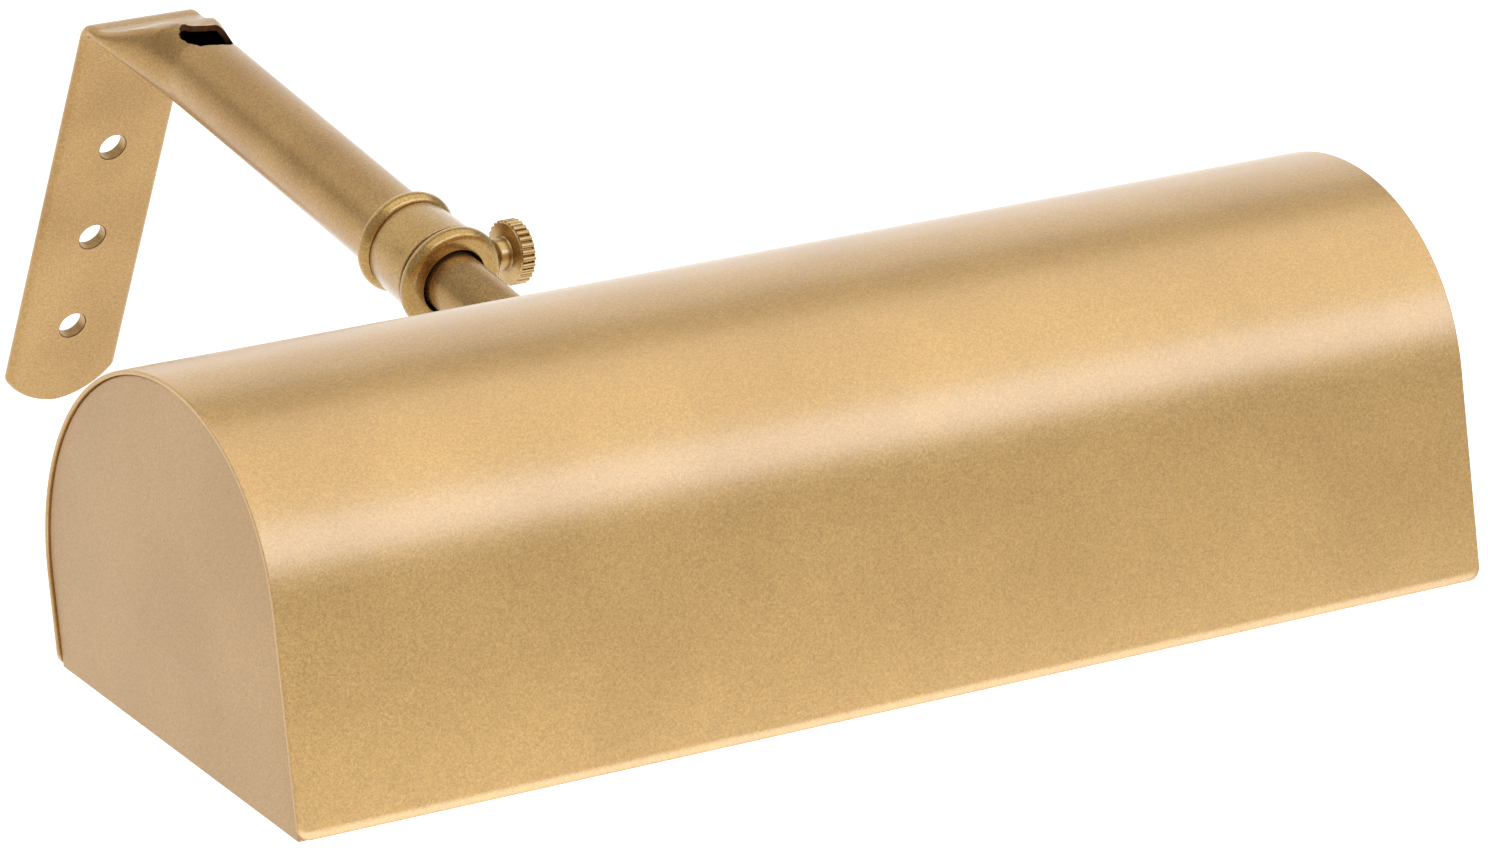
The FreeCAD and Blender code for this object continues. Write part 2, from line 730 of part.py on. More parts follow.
def bulb_filament():
    """Fine wire that runs from hook to hook up the bulb."""
    points = [V((1 if i % 2 else -1) * support_reach, support_radius + filament_radius, height)
              for i, height in enumerate(support_heights())]
    runs = [Part.makeCylinder(filament_radius, (b - a).Length, a, b - a) for a, b in zip(points, points[1:])]
    joints = [Part.makeSphere(filament_radius, p) for p in points]
    solid = runs[0].fuse(runs[1:] + joints)
    return placed(solid, LAMP)


def rounded_path(points, radius):
    """Straight runs joined by tangent arcs."""
    edges = []
    start = points[0]
    for before, corner, after in zip(points, points[1:], points[2:]):
        into = (corner - before).normalize()
        out = (after - corner).normalize()
        turn = into.getAngle(out)
        cut = radius * math.tan(turn / 2)
        first = corner - into * cut
        last = corner + out * cut
        middle = corner + (out - into).normalize() * (radius / math.cos(turn / 2) - radius)
        edges += [line(start, first), arc(first, middle, last)]
        start = last
    return Part.Wire(edges + [line(start, points[-1])])


def lead(side):
    """A lead from the lampholder's back, round its edge and along inside the rear skirt."""
    start = lead_entry(side) + V(lead_depth, 0, 0)
    back = -holder_plane - lead_loop - (lead_loop_step if side > 0 else 0)
    lane = splice_lane(side)
    points = [start, V(back, start.y, start.z), V(back, lane.y, lane.z), V(lane.x, lane.y, lane.z)]
    path = rounded_path(points, lead_bend)
    section = Part.Wire(Part.Circle(start, X_AXIS, lead_radius).toShape())
    return placed(path.makePipeShell([section], True, False), SHADE)


def splice_lane(side):
    """The end of each lead: inside the rear skirt, below the strap, one lead beside the other."""
    outer = V(-splice_from_nut - splice_length, shell_inside - splice_radius - splice_wall_gap, -splice_drop)
    inner = outer + V(0, -2 * splice_radius - splice_gap, splice_rise)
    return outer if side > 0 else inner


def splice_caps():
    """Closed crimp caps on the ends of the two leads."""
    caps = []
    for side in (-1, 1):
        end = splice_lane(side)
        cap = Part.makeCylinder(splice_radius, splice_length, end - V(splice_overlap, 0, 0), X_AXIS)
        way = Part.makeCylinder(lead_radius, splice_overlap + 1, end - V(splice_overlap + 1, 0, 0), X_AXIS)
        caps.append(cap.cut(way))
    return placed(Part.makeCompound(caps), SHADE)


PIECES = {
    "bracket_arm": bracket_arm(),
    "arm_collar": arm_collar(),
    "thumbscrew": thumbscrew(),
    "thumbscrew_pad": thumbscrew_pad(),
    "inner_tube": inner_tube(),
    "inner_tube_bush": inner_tube_bush(),
    "swivel_tongue": swivel_tongue(),
    "swivel_washers": swivel_washers(),
    "swivel_screws": swivel_screws(),
    "swivel_fork": swivel_fork(),
    "shade_shell": shade_shell(),
    "shade_end_left": shade_end(-1),
    "shade_end_right": shade_end(1),
    "saddle_washer_outer": saddle_washer_outer(),
    "saddle_washer_inner": saddle_washer_inner(),
    "hollow_nipple": hollow_nipple(),
    "nipple_lock_washer": nipple_lock_washer(),
    "nipple_nut": nipple_nut(),
    "nipple_bushing": nipple_bushing(),
    "socket_strap": socket_strap(),
    "lampholder_body": lampholder_body(),
    "lampholder_shell": lampholder_shell(),
    "lampholder_contact": lampholder_contact(),
    "lampholder_screw": lampholder_screw(),
    "lead_black": lead(-1),
    "lead_white": lead(1),
    "splice_caps": splice_caps(),
    "bulb_glass": bulb_glass(),
    "bulb_cap": bulb_cap(),
    "bulb_insulator": bulb_insulator(),
    "bulb_contact": bulb_contact(),
    "bulb_stem": bulb_stem(),
    "bulb_supports": bulb_supports(),
    "bulb_filament": bulb_filament(),
}

os.makedirs("parts", exist_ok=True)
for node, shape in PIECES.items():
    shape.exportStep("parts/" + node + ".step")
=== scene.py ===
import json
import math
import bmesh
import bpy
import numpy as np
from mathutils import Matrix, Vector


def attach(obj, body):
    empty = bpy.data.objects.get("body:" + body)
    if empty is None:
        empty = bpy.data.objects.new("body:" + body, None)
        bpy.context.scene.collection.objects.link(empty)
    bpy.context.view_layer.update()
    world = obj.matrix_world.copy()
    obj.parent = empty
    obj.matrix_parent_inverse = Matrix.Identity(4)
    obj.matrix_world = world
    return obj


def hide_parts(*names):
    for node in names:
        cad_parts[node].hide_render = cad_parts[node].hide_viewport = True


# A picture light: a drilled strap and telescopic arm, a swivel, and a half-round shade with its lamp.
# The scene is in metres. Each piece is drawn in millimetres in one of the places below, which turn it
# into metres: +X runs along the shade, -Y points out over the picture and +Z is up.
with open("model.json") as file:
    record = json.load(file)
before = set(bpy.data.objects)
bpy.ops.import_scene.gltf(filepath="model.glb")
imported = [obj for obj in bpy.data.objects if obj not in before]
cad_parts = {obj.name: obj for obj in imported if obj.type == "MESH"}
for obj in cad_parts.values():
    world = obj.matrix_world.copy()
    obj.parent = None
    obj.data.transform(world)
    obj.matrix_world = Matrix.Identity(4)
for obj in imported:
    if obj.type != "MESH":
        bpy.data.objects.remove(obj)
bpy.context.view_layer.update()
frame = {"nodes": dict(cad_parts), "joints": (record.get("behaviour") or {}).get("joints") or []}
MM = 0.001

# ---- places and sizes, from the frame


def place_at(origin, x, y, z):
    """A place with its own origin in metres and its own axes, drawn in millimetres."""
    place = Matrix((x, y, z)).transposed().to_4x4() @ Matrix.Scale(MM, 4)
    return Matrix.Translation(origin) @ place


def local(node, place):
    """A CAD node's vertices in a place's own millimetres, one row each."""
    back = np.array(place.inverted())
    return np.array([v.co for v in frame["nodes"][node].data.vertices]) @ back[:3, :3].T + back[:3, 3]


def outer_radius(node, place):
    """How far a CAD node reaches from a place's z axis."""
    points = local(node, place)
    return np.hypot(points[:, 0], points[:, 1]).max()


def span(node, place, axis=2):
    """A CAD node's low and high end along one of a place's axes."""
    points = local(node, place)[:, axis]
    return points.min(), points.max()


joints = {joint["name"]: joint for joint in frame["joints"]}
RIGHT = Vector((1, 0, 0))
FORWARD = Vector(joints["arm_slide"]["axis"])
UP = Vector((0, FORWARD.z, -FORWARD.y))
PIN = Vector(joints["shade_tilt"]["pos_m"])
LIGHT = place_at((0, 0, 0), RIGHT, Vector((0, 1, 0)), Vector((0, 0, 1)))

# Strap and bend
strap_half = span("bracket_arm", LIGHT, 0)[1]
strap_low = span("bracket_arm", LIGHT)[0]
strap_thick = 2.3
hole_pitch = 20.4
hole_radius = 2.65
bend_above_hole = 27.7
bend_inside = 1.5
stock_drop = 0.4             # the flat stock's middle lies this far below the tube's axis
bend_point = Vector((0, strap_thick / 2, hole_pitch + bend_above_hole)) * MM
ARM = place_at(PIN - FORWARD * (PIN - bend_point).dot(FORWARD), RIGHT, UP, FORWARD)

# Arm, collar and inner arm, as stations along the arm from its bend
tube_front = span("bracket_arm", ARM)[1]
collar_back, collar_front = span("arm_collar", ARM)
inner_back, inner_front = span("inner_tube", ARM)
bush_front = span("inner_tube_bush", ARM)[1]
inner_radius = outer_radius("inner_tube", ARM)
inner_wall = 0.8
tube_bore = outer_radius("inner_tube_bush", ARM) + 0.05
tube_radius = tube_bore + 1.15
pin_station = (ARM.inverted() @ PIN).z

# Shade, with y to its rear and z up its skirts, from the arch's axis
lean = math.radians(33.8)
REARWARD = Vector((0, math.cos(lean), -math.sin(lean)))
CROWN = Vector((0, math.sin(lean), math.cos(lean)))
upright = place_at((0, 0, 0), RIGHT, REARWARD, CROWN)
shade_back = span("shade_shell", upright, 1)
arch_radius = (shade_back[1] - shade_back[0]) / 2
arch_middle = upright @ Vector((0, sum(shade_back) / 2, span("shade_shell", upright)[1] - arch_radius))
SHADE = place_at(arch_middle, RIGHT, REARWARD, CROWN)
shade_half = span("shade_shell", SHADE, 0)[1]
sheet = 0.8
front_skirt = -span("shade_shell", SHADE)[0]
rear_skirt = 14.4
swivel_angle = math.radians(7.2)
RADIAL = (REARWARD * math.cos(swivel_angle) + CROWN * math.sin(swivel_angle)).normalized()
NIPPLE = place_at(arch_middle, RIGHT, RADIAL.cross(RIGHT), RADIAL)
holder_plane = span("lampholder_body", SHADE, 0)[0]
LAMP = place_at(SHADE @ Vector((holder_plane, 0, 0)), -CROWN, REARWARD, RIGHT)
THUMB = place_at(Vector(joints["thumbscrew_turn"]["pos_m"]), -UP, FORWARD, RIGHT)

# ---- finishes


class Wire:
    """A shader socket that takes part in sums: each sum adds its own Math node."""

    def __init__(self, finish, socket):
        self.finish = finish
        self.socket = socket

    def sum(self, operation, first, second):
        return self.finish.node("ShaderNodeMath", {"operation": operation}, {0: first, 1: second})

    def __add__(self, other):
        return self.sum("ADD", self, other)

    def __mul__(self, other):
        return self.sum("MULTIPLY", self, other)


class Finish:
    """One material, built node by node round a Principled surface."""

    def __init__(self, name):
        self.material = bpy.data.materials.new(name)
        self.material.use_nodes = True
        self.tree = self.material.node_tree
        self.tree.nodes.clear()
        self.place = self.node("ShaderNodeTexCoord", output="Object")

    def node(self, kind, settings=None, sockets=None, output=0):
        """Adds a node: its settings first, then the value or link of each socket."""
        made = self.tree.nodes.new(kind)
        for key, value in (settings or {}).items():
            setattr(made, key, value)
        for key, value in (sockets or {}).items():
            if isinstance(value, Wire):
                self.tree.links.new(value.socket, made.inputs[key])
            else:
                made.inputs[key].default_value = value
        return Wire(self, made.outputs[output])

    def noise(self, size, detail=3.0, stretch=(1, 1, 1)):
        """Cloudy variation with features of about that size in metres."""
        placed = self.node("ShaderNodeMapping", None, {"Vector": self.place, "Scale": stretch})
        return self.node("ShaderNodeTexNoise", None, {"Vector": placed, "Scale": 1 / size, "Detail": detail})

    def flakes(self, size):
        """A random shade for each flake of about that size."""
        cells = self.node("ShaderNodeTexVoronoi", None, {"Vector": self.place, "Scale": 1 / size}, "Color")
        return self.node("ShaderNodeSeparateColor", None, {0: cells})

    def level(self, wire, low, high, start=0.0, end=1.0):
        """A value rescaled from low..high to start..end, and held there."""
        return self.node("ShaderNodeMapRange", {"clamp": True}, {0: wire, 1: low, 2: high, 3: start, 4: end})

    def blend(self, share, first, second, how="MIX"):
        """Two colours mixed."""
        return self.node("ShaderNodeMix", {"data_type": "RGBA", "blend_type": how},
                         {0: share, 6: first, 7: second}, 2)

    def bumps(self, height, depth):
        return self.node("ShaderNodeBump", None, {"Height": height, "Distance": depth, "Strength": 1.0})

    def edges(self):
        """Near 1 on outside edges, near 0 in inside corners."""
        return self.node("ShaderNodeNewGeometry", output="Pointiness")

    def surface(self, **sockets):
        named = {key.replace("_", " "): value for key, value in sockets.items()}
        shader = self.node("ShaderNodeBsdfPrincipled", None, named)
        end = self.tree.nodes.new("ShaderNodeOutputMaterial")
        self.tree.links.new(shader.socket, end.inputs["Surface"])
        return self.material


def rgb(red, green, blue):
    return (red, green, blue, 1.0)


def satin_lacquer(name, light, deep, roughness=0.40, metallic=0.80, coat=0.8, coat_ior=1.9):
    """Gold lacquer with fine metal flakes: a soft cloudy tone, and a grain of lighter and darker flakes."""
    finish = Finish(name)
    clouds = finish.noise(0.022, 2.0)
    grain = finish.noise(0.00045, 2.0)
    flake = finish.flakes(0.00022)
    tone = finish.level(clouds * 0.5 + grain * 0.5, 0.36, 0.64)
    colour = finish.blend(tone, rgb(*deep), rgb(*light))
    speckle = finish.level(flake, 0.0, 1.0, 0.82, 1.14)
    grey = finish.node("ShaderNodeCombineColor", None, {0: speckle, 1: speckle, 2: speckle})
    colour = finish.blend(1.0, colour, grey, "MULTIPLY")
    rough = finish.level(flake, 0.0, 1.0, roughness - 0.05, roughness + 0.05)
    height = flake * 0.5 + grain * 0.5
    return finish.surface(Base_Color=colour, Metallic=metallic, Roughness=rough, Coat_Weight=coat,
                          Coat_Roughness=0.26, Coat_IOR=coat_ior, Normal=finish.bumps(height, 0.000007))


def turned_brass(name, light, deep, roughness=0.30):
    """Lacquered turned brass with a cloudy tone and a fine grain; brown painted shade darkens its grooves."""
    finish = Finish(name)
    clouds = finish.noise(0.006, 3.0)
    grain = finish.noise(0.0005, 2.0)
    tone = finish.level(clouds * 0.6 + grain * 0.4, 0.33, 0.67)
    colour = finish.blend(tone, rgb(*deep), rgb(*light))
    # painted shade: darker brown where the pointiness finds grooves and inside corners
    groove_painted_shade = finish.level(finish.edges(), 0.44, 0.50, 1.0, 0.0)
    colour = finish.blend(groove_painted_shade * 0.6, colour, rgb(0.16, 0.055, 0.018))
    rough = finish.level(clouds, 0.3, 0.7, roughness - 0.05, roughness + 0.07)
    return finish.surface(Base_Color=colour, Metallic=0.88, Roughness=rough, Coat_Weight=0.25,
                          Coat_Roughness=0.22, Normal=finish.bumps(grain, 0.000014))


def plain_metal(name, light, deep, roughness=0.33, stretch=(1, 1, 1), size=0.0016):
    """Drawn or plated metal: cloudy plating with a faint drawn grain."""
    finish = Finish(name)
    clouds = finish.noise(0.009, 3.0)
    grain = finish.noise(size, 4.0, stretch)
    colour = finish.blend(finish.level(clouds, 0.35, 0.65), rgb(*deep), rgb(*light))
    rough = finish.level(grain, 0.3, 0.7, roughness - 0.07, roughness + 0.09)
    return finish.surface(Base_Color=colour, Metallic=1.0, Roughness=rough,
                          Normal=finish.bumps(grain, 0.00002))


def moulded(name, light, deep, roughness=0.4, size=0.0012, depth=0.00002, coat=0.0):
    """Moulded plastic, fibre or ceramic: a mottled colour and a fine skin."""
    finish = Finish(name)
    mottle = finish.noise(size * 4, 4.0)
    skin = finish.noise(size * 0.35, 2.0)
    colour = finish.blend(finish.level(mottle, 0.35, 0.65), rgb(*deep), rgb(*light))
    rough = finish.level(skin, 0.3, 0.7, roughness - 0.06, roughness + 0.08)
    return finish.surface(Base_Color=colour, Roughness=rough, Coat_Weight=coat, Coat_Roughness=0.15,
                          Normal=finish.bumps(skin, depth))


def clear_glass(name):
    """Thin clear lamp glass with faint draw lines."""
    finish = Finish(name)
    lines = finish.noise(0.004, 2.0, (0.15, 1, 1))
    rough = finish.level(lines, 0.3, 0.7, 0.0, 0.05)
    return finish.surface(Base_Color=rgb(0.97, 0.98, 0.97), Roughness=rough, IOR=1.45,
                          Transmission_Weight=1.0, Normal=finish.bumps(lines, 0.00004))


GOLD = satin_lacquer("satin_gold_lacquer", (0.58, 0.335, 0.085), (0.50, 0.28, 0.065))
# Painted shade: darker copies of the shade's gold paint for the arm and the inner tube.
ARM_GOLD_PAINTED_SHADE = satin_lacquer("arm_gold_lacquer_painted_shade", (0.50, 0.305, 0.105), (0.36, 0.20, 0.06), 0.33, 0.92, 0.5, 1.5)
TUBE_GOLD_PAINTED_SHADE = satin_lacquer("inner_tube_gold_painted_shade", (0.47, 0.285, 0.10), (0.35, 0.195, 0.058), 0.30, 0.92, 0.5, 1.5)
# Painted light: a paler, less saturated copy of the shade's gold paint for the end plates.
END_GOLD_PAINTED_LIGHT = satin_lacquer("end_plate_gold_painted_light", (0.56, 0.36, 0.17), (0.49, 0.31, 0.14), 0.5, 0.6, 0.3, 1.6)
COLLAR_GOLD = satin_lacquer("collar_gold", (0.51, 0.32, 0.10), (0.36, 0.205, 0.05), 0.24, 0.92, 0.5, 1.5)
# Raw metal at the drilled and torn edges; the same dark red-brown also paints shade into the collar's bead
# grooves.
RAW_EDGE_AND_GROOVE_SHADE = plain_metal("raw_edge_and_painted_groove_shade", (0.24, 0.105, 0.040), (0.09, 0.035, 0.015), 0.5)
# Painted shade: a near-black grey for the arm tube's bore and the collar's screw hole.
BORE_PAINTED_SHADE = plain_metal("tube_inside_painted_shade", (0.085, 0.075, 0.065), (0.03, 0.024, 0.02), 0.36)
BRASS = turned_brass("turned_gold_brass", (0.62, 0.41, 0.155), (0.40, 0.24, 0.07))
THUMB_BRASS = turned_brass("thumbscrew_brass", (0.60, 0.41, 0.17), (0.40, 0.25, 0.085), 0.24)
ZINC = plain_metal("zinc_plated_steel", (0.66, 0.66, 0.62), (0.50, 0.51, 0.50), 0.34)
NYLON = moulded("natural_nylon", (0.86, 0.84, 0.78), (0.78, 0.76, 0.69), 0.5)
BLACK_PLASTIC = moulded("black_bushing_plastic", (0.035, 0.035, 0.036), (0.02, 0.02, 0.021), 0.38)
FIBRE = moulded("red_fibre", (0.40, 0.115, 0.06), (0.26, 0.065, 0.035), 0.62, 0.0007, 0.00003)
PHENOLIC = moulded("brown_black_phenolic", (0.055, 0.035, 0.027), (0.020, 0.014, 0.012),
                   0.24, 0.002, 0.00001, 0.4)
CONTACT_BRASS = plain_metal("pressed_contact_brass", (0.80, 0.60, 0.27), (0.62, 0.43, 0.16), 0.24)
BLACK_WIRE = moulded("black_wire_skin", (0.028, 0.028, 0.030), (0.016, 0.016, 0.017), 0.33)
WHITE_WIRE = moulded("white_wire_skin", (0.84, 0.84, 0.81), (0.75, 0.75, 0.72), 0.33)
CRIMP = moulded("cream_crimp_cap", (0.76, 0.73, 0.64), (0.66, 0.63, 0.54), 0.36)
GLASS = clear_glass("lamp_glass")
CAP_METAL = plain_metal("lamp_cap_aluminium", (0.80, 0.80, 0.79), (0.66, 0.66, 0.66), 0.27)
BLACK_GLASS = moulded("lamp_insulator_glass", (0.018, 0.020, 0.030), (0.008, 0.008, 0.012),
                      0.10, 0.002, 0.00001)
SOLDER = plain_metal("soldered_tip", (0.60, 0.60, 0.62), (0.45, 0.45, 0.47), 0.42, (1, 1, 1), 0.0006)
WIRE = plain_metal("lamp_wire", (0.46, 0.46, 0.48), (0.30, 0.30, 0.32), 0.30)

# ---- mesh tools


class Shape:
    """Vertices and faces gathered for one piece. A face's finish is its place in the piece's list."""

    def __init__(self):
        self.points = []
        self.faces = []
        self.finish = []

    def add(self, points):
        first = len(self.points)
        self.points += [Vector(p) for p in points]
        return first

    def face(self, indices, finish=0):
        self.faces.append(tuple(indices))
        self.finish.append(finish)

    def grid(self, rows, closed=False, finish=0, flip=False):
        """Rows of points joined by quads. Returns each row's indices."""
        numbered = []
        for row in rows:
            first = self.add(row)
            numbered.append(list(range(first, first + len(row))))
        self.bridge(numbered, closed, finish, flip)
        return numbered

    def bridge(self, rows, closed=False, finish=0, flip=False):
        for low, high in zip(rows, rows[1:]):
            count = len(low)
            for i in range(count if closed else count - 1):
                j = (i + 1) % count
                quad = (low[i], low[j], high[j], high[i])
                self.face(reversed(quad) if flip else quad, finish)

    def turn(self, profile, segments, finish=0, marks=None):
        """A closed (radius, z) profile turned about z. Marks give a stretch its own finish."""
        rings = []
        for radius, height in profile:
            if radius < 1e-7:
                rings.append([self.add([(0, 0, height)])])
                continue
            turns = [2 * math.pi * i / segments for i in range(segments)]
            first = self.add([(radius * math.cos(a), radius * math.sin(a), height) for a in turns])
            rings.append(list(range(first, first + segments)))
        for number, (low, high) in enumerate(zip(rings, rings[1:] + rings[:1])):
            if len(low) == 1 and len(high) == 1:
                continue
            here = (marks or {}).get(number, finish)
            for i in range(segments):
                j = (i + 1) % segments
                if len(low) == 1:
                    self.face((low[0], high[j], high[i]), here)
                elif len(high) == 1:
                    self.face((low[i], low[j], high[0]), here)
                else:
                    self.face((low[i], low[j], high[j], high[i]), here)

    def tube(self, path, radius, segments=12, finish=0):
        """A round wire along a list of points, with flat ends."""
        rows = []
        side = None
        for i, point in enumerate(path):
            ahead = (path[min(i + 1, len(path) - 1)] - path[max(i - 1, 0)]).normalized()
            side = ahead.orthogonal() if side is None else side - ahead * side.dot(ahead)
            side.normalize()
            other = ahead.cross(side)
            turns = [2 * math.pi * k / segments for k in range(segments)]
            rows.append([point + (side * math.cos(a) + other * math.sin(a)) * radius for a in turns])
        rings = self.grid(rows, True, finish)
        self.face(reversed(rings[0]), finish)
        self.face(rings[-1], finish)

    def move(self, first, rule):
        """Moves every vertex from the first one named by a rule."""
        self.points[first:] = [rule(p) for p in self.points[first:]]


def turned(profile, segments, finish=0, marks=None):
    shape = Shape()
    shape.turn(profile, segments, finish, marks)
    return shape


def drill(radius, low, high, segments, finish=0):
    """A round cutter."""
    return turned([(0, low), (radius, low), (radius, high), (0, high)], segments, finish)


def box(low, high):
    """A rectangular cutter."""
    shape = Shape()
    shape.add([(x, y, z) for x in (low[0], high[0]) for y in (low[1], high[1]) for z in (low[2], high[2])])
    for quad in ((0, 1, 3, 2), (4, 6, 7, 5), (0, 4, 5, 1), (2, 3, 7, 6), (0, 2, 6, 4), (1, 5, 7, 3)):
        shape.face(quad)
    return shape


def arc_points(centre, radius, start, end, count):
    """(radius, z) points along an arc, from one angle in degrees to another."""
    angles = [math.radians(start + (end - start) * i / count) for i in range(count + 1)]
    return [(centre[0] + radius * math.cos(a), centre[1] + radius * math.sin(a)) for a in angles]


def mesh_of(name, shape, place, finishes):
    """A plain mesh object with its place in its vertices and its faces pointing outwards."""
    data = bpy.data.meshes.new(name)
    data.from_pydata([place @ p for p in shape.points], [], shape.faces)
    for finish in finishes:
        data.materials.append(finish)
    data.polygons.foreach_set("material_index", shape.finish)
    tidy_mesh(data)
    thing = bpy.data.objects.new(name, data)
    bpy.context.scene.collection.objects.link(thing)
    return thing


def tidy_mesh(data, merge=0.0000005):
    """Merges doubles and turns every face outwards."""
    work = bmesh.new()
    work.from_mesh(data)
    bmesh.ops.remove_doubles(work, verts=work.verts, dist=merge)
    bmesh.ops.recalc_face_normals(work, faces=work.faces)
    work.to_mesh(data)
    work.free()


def shade_smooth(thing, angle=35.0):
    """Smooth shading that breaks at sharp edges."""
    data = thing.data
    data.shade_smooth()
    work = bmesh.new()
    work.from_mesh(data)
    for edge in work.edges:
        edge.smooth = len(edge.link_faces) == 2 and edge.calc_face_angle() < math.radians(angle)
    work.to_mesh(data)
    work.free()


def soften(thing, width, segments=2, angle=40.0):
    """A small round on every sharp edge."""
    bevel = thing.modifiers.new("edge_round", "BEVEL")
    bevel.width = width
    bevel.segments = segments
    bevel.limit_method = "ANGLE"
    bevel.angle_limit = math.radians(angle)
    bevel.harden_normals = False
    bevel.use_clamp_overlap = True
    thing.data.shade_smooth()
    flat = thing.modifiers.new("even_shading", "WEIGHTED_NORMAL")
    flat.keep_sharp = True


def finished(thing, body, node):
    """Puts a piece on its body, in place of its CAD node."""
    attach(thing, body)
    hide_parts(node)
    return thing


def piece(node, shape, place, finishes, body, angle=35.0, cutters=()):
    """The finished form of one CAD node: its mesh, cut, smoothed and put on its body."""
    thing = mesh_of("finished_" + node, shape, place, finishes)
    if cutters:
        cut(thing, cutters)
        tidy_mesh(thing.data)
    shade_smooth(thing, angle)
    return finished(thing, body, node)


def from_cad(node, finish, body, width):
    """A CAD node's own shape with its coplanar triangles joined and its edges rounded."""
    data = frame["nodes"][node].data.copy()
    data.materials.clear()
    data.materials.append(finish)
    tidy_mesh(data, 0.000001)
    work = bmesh.new()
    work.from_mesh(data)
    bmesh.ops.dissolve_limit(work, angle_limit=math.radians(0.4), verts=work.verts, edges=work.edges)
    work.to_mesh(data)
    work.free()
    thing = bpy.data.objects.new("finished_" + node, data)
    bpy.context.scene.collection.objects.link(thing)
    soften(thing, width)
    return finished(thing, body, node)


def cut(thing, cutters):
    """Cuts closed shapes out of a piece. A cutter's faces keep the finish they are marked with."""
    for shape, place in cutters:
        tool = mesh_of("cutter", shape, place, list(thing.data.materials))
        taken = thing.modifiers.new("cut", "BOOLEAN")
        taken.operation = "DIFFERENCE"
        taken.object = tool
        taken.solver = "EXACT"
        apply_all(thing)
        bpy.data.objects.remove(tool)


def apply_all(thing):
    """Turns a piece's modifiers into its mesh."""
    ready = thing.evaluated_get(bpy.context.evaluated_depsgraph_get())
    data = bpy.data.meshes.new_from_object(ready)
    thing.modifiers.clear()
    thing.data = data


# ---- what repeats: node trees


class Tree:
    """A geometry node tree with named sizes, ending in real geometry of one finish."""

    def __init__(self, name, sizes):
        self.tree = bpy.data.node_groups.new(name, "GeometryNodeTree")
        self.inputs = {}
        for size, kind in sizes.items():
            made = self.tree.interface.new_socket(size, in_out="INPUT", socket_type="NodeSocket" + kind)
            self.inputs[size] = made.identifier
        self.tree.interface.new_socket("Geometry", in_out="OUTPUT", socket_type="NodeSocketGeometry")
        self.entry = self.tree.nodes.new("NodeGroupInput")

    def size(self, name):
        return self.entry.outputs[name]

    def node(self, kind, settings=None, sockets=None, output=0):
        made = self.tree.nodes.new(kind)
        for key, value in (settings or {}).items():
            setattr(made, key, value)
        for key, value in (sockets or {}).items():
            if isinstance(value, bpy.types.NodeSocket):
                self.tree.links.new(value, made.inputs[key])
            else:
                made.inputs[key].default_value = value
        return made.outputs[output]

    def end(self, geometry):
        real = self.node("GeometryNodeRealizeInstances", None, {0: geometry})
        done = self.node("GeometryNodeSetMaterial", None, {"Geometry": real, "Material": self.size("Finish")})
        out = self.tree.nodes.new("NodeGroupOutput")
        self.tree.links.new(done, out.inputs[0])
        return self

    def run(self, **values):
        """The tree's mesh for these sizes."""
        data = bpy.data.meshes.new("seed")
        thing = bpy.data.objects.new("seed", data)
        bpy.context.scene.collection.objects.link(thing)
        grown = thing.modifiers.new("tree", "NODES")
        grown.node_group = self.tree
        for key, value in values.items():
            grown[self.inputs[key]] = value
        ready = thing.evaluated_get(bpy.context.evaluated_depsgraph_get())
        result = bpy.data.meshes.new_from_object(ready)
        bpy.data.objects.remove(thing)
        return result


def helix_tree():
    """A round wire wound in a helix about z: a screw thread's ridge or a coil."""
    tree = Tree("helix", {"Turns": "Float", "Radius": "Float", "Rise": "Float", "Wire": "Float",
                          "Steps": "Int", "Sides": "Int", "Finish": "Material"})
    radius = tree.size("Radius")
    spiral = tree.node("GeometryNodeCurveSpiral", None, {
        "Resolution": tree.size("Steps"), "Rotations": tree.size("Turns"), "Start Radius": radius,
        "End Radius": radius, "Height": tree.size("Rise")})
    section = tree.node("GeometryNodeCurvePrimitiveCircle", None, {
        "Resolution": tree.size("Sides"), "Radius": tree.size("Wire")})
    wound = tree.node("GeometryNodeCurveToMesh", None, {
        "Curve": spiral, "Profile Curve": section, "Fill Caps": True})
    return tree.end(wound)


def rib_tree():
    """Straight round ribs side by side round an axis, as in a coarse knurl."""
    tree = Tree("ribs", {"Count": "Int", "Ring": "Float", "Rib": "Float", "Length": "Float",
                         "Finish": "Material"})
    ring = tree.node("GeometryNodeMeshCircle", None, {
        "Vertices": tree.size("Count"), "Radius": tree.size("Ring")})
    rib = tree.node("GeometryNodeMeshCylinder", None, {
        "Vertices": 14, "Radius": tree.size("Rib"), "Depth": tree.size("Length")})
    placed = tree.node("GeometryNodeInstanceOnPoints", None, {"Points": ring, "Instance": rib})
    return tree.end(placed)


HELIX = helix_tree()
RIBS = rib_tree()


def add_mesh(shape, data, place=None, finish=0):
    """Adds a ready mesh to a shape."""
    place = place or Matrix.Identity(4)
    first = shape.add([place @ v.co for v in data.vertices])
    for polygon in data.polygons:
        shape.face([first + i for i in polygon.vertices], finish)


def thread(shape, radius, low, high, pitch, depth, finish=0):
    """A screw thread's rounded ridge on a rod or in a bore, from low to high."""
    turns = (high - low) / pitch
    data = HELIX.run(Turns=turns, Radius=radius, Rise=high - low, Wire=depth, Steps=28, Sides=8)
    add_mesh(shape, data, Matrix.Translation((0, 0, low)), finish)


# ---- bracket: strap, bend and outer tube


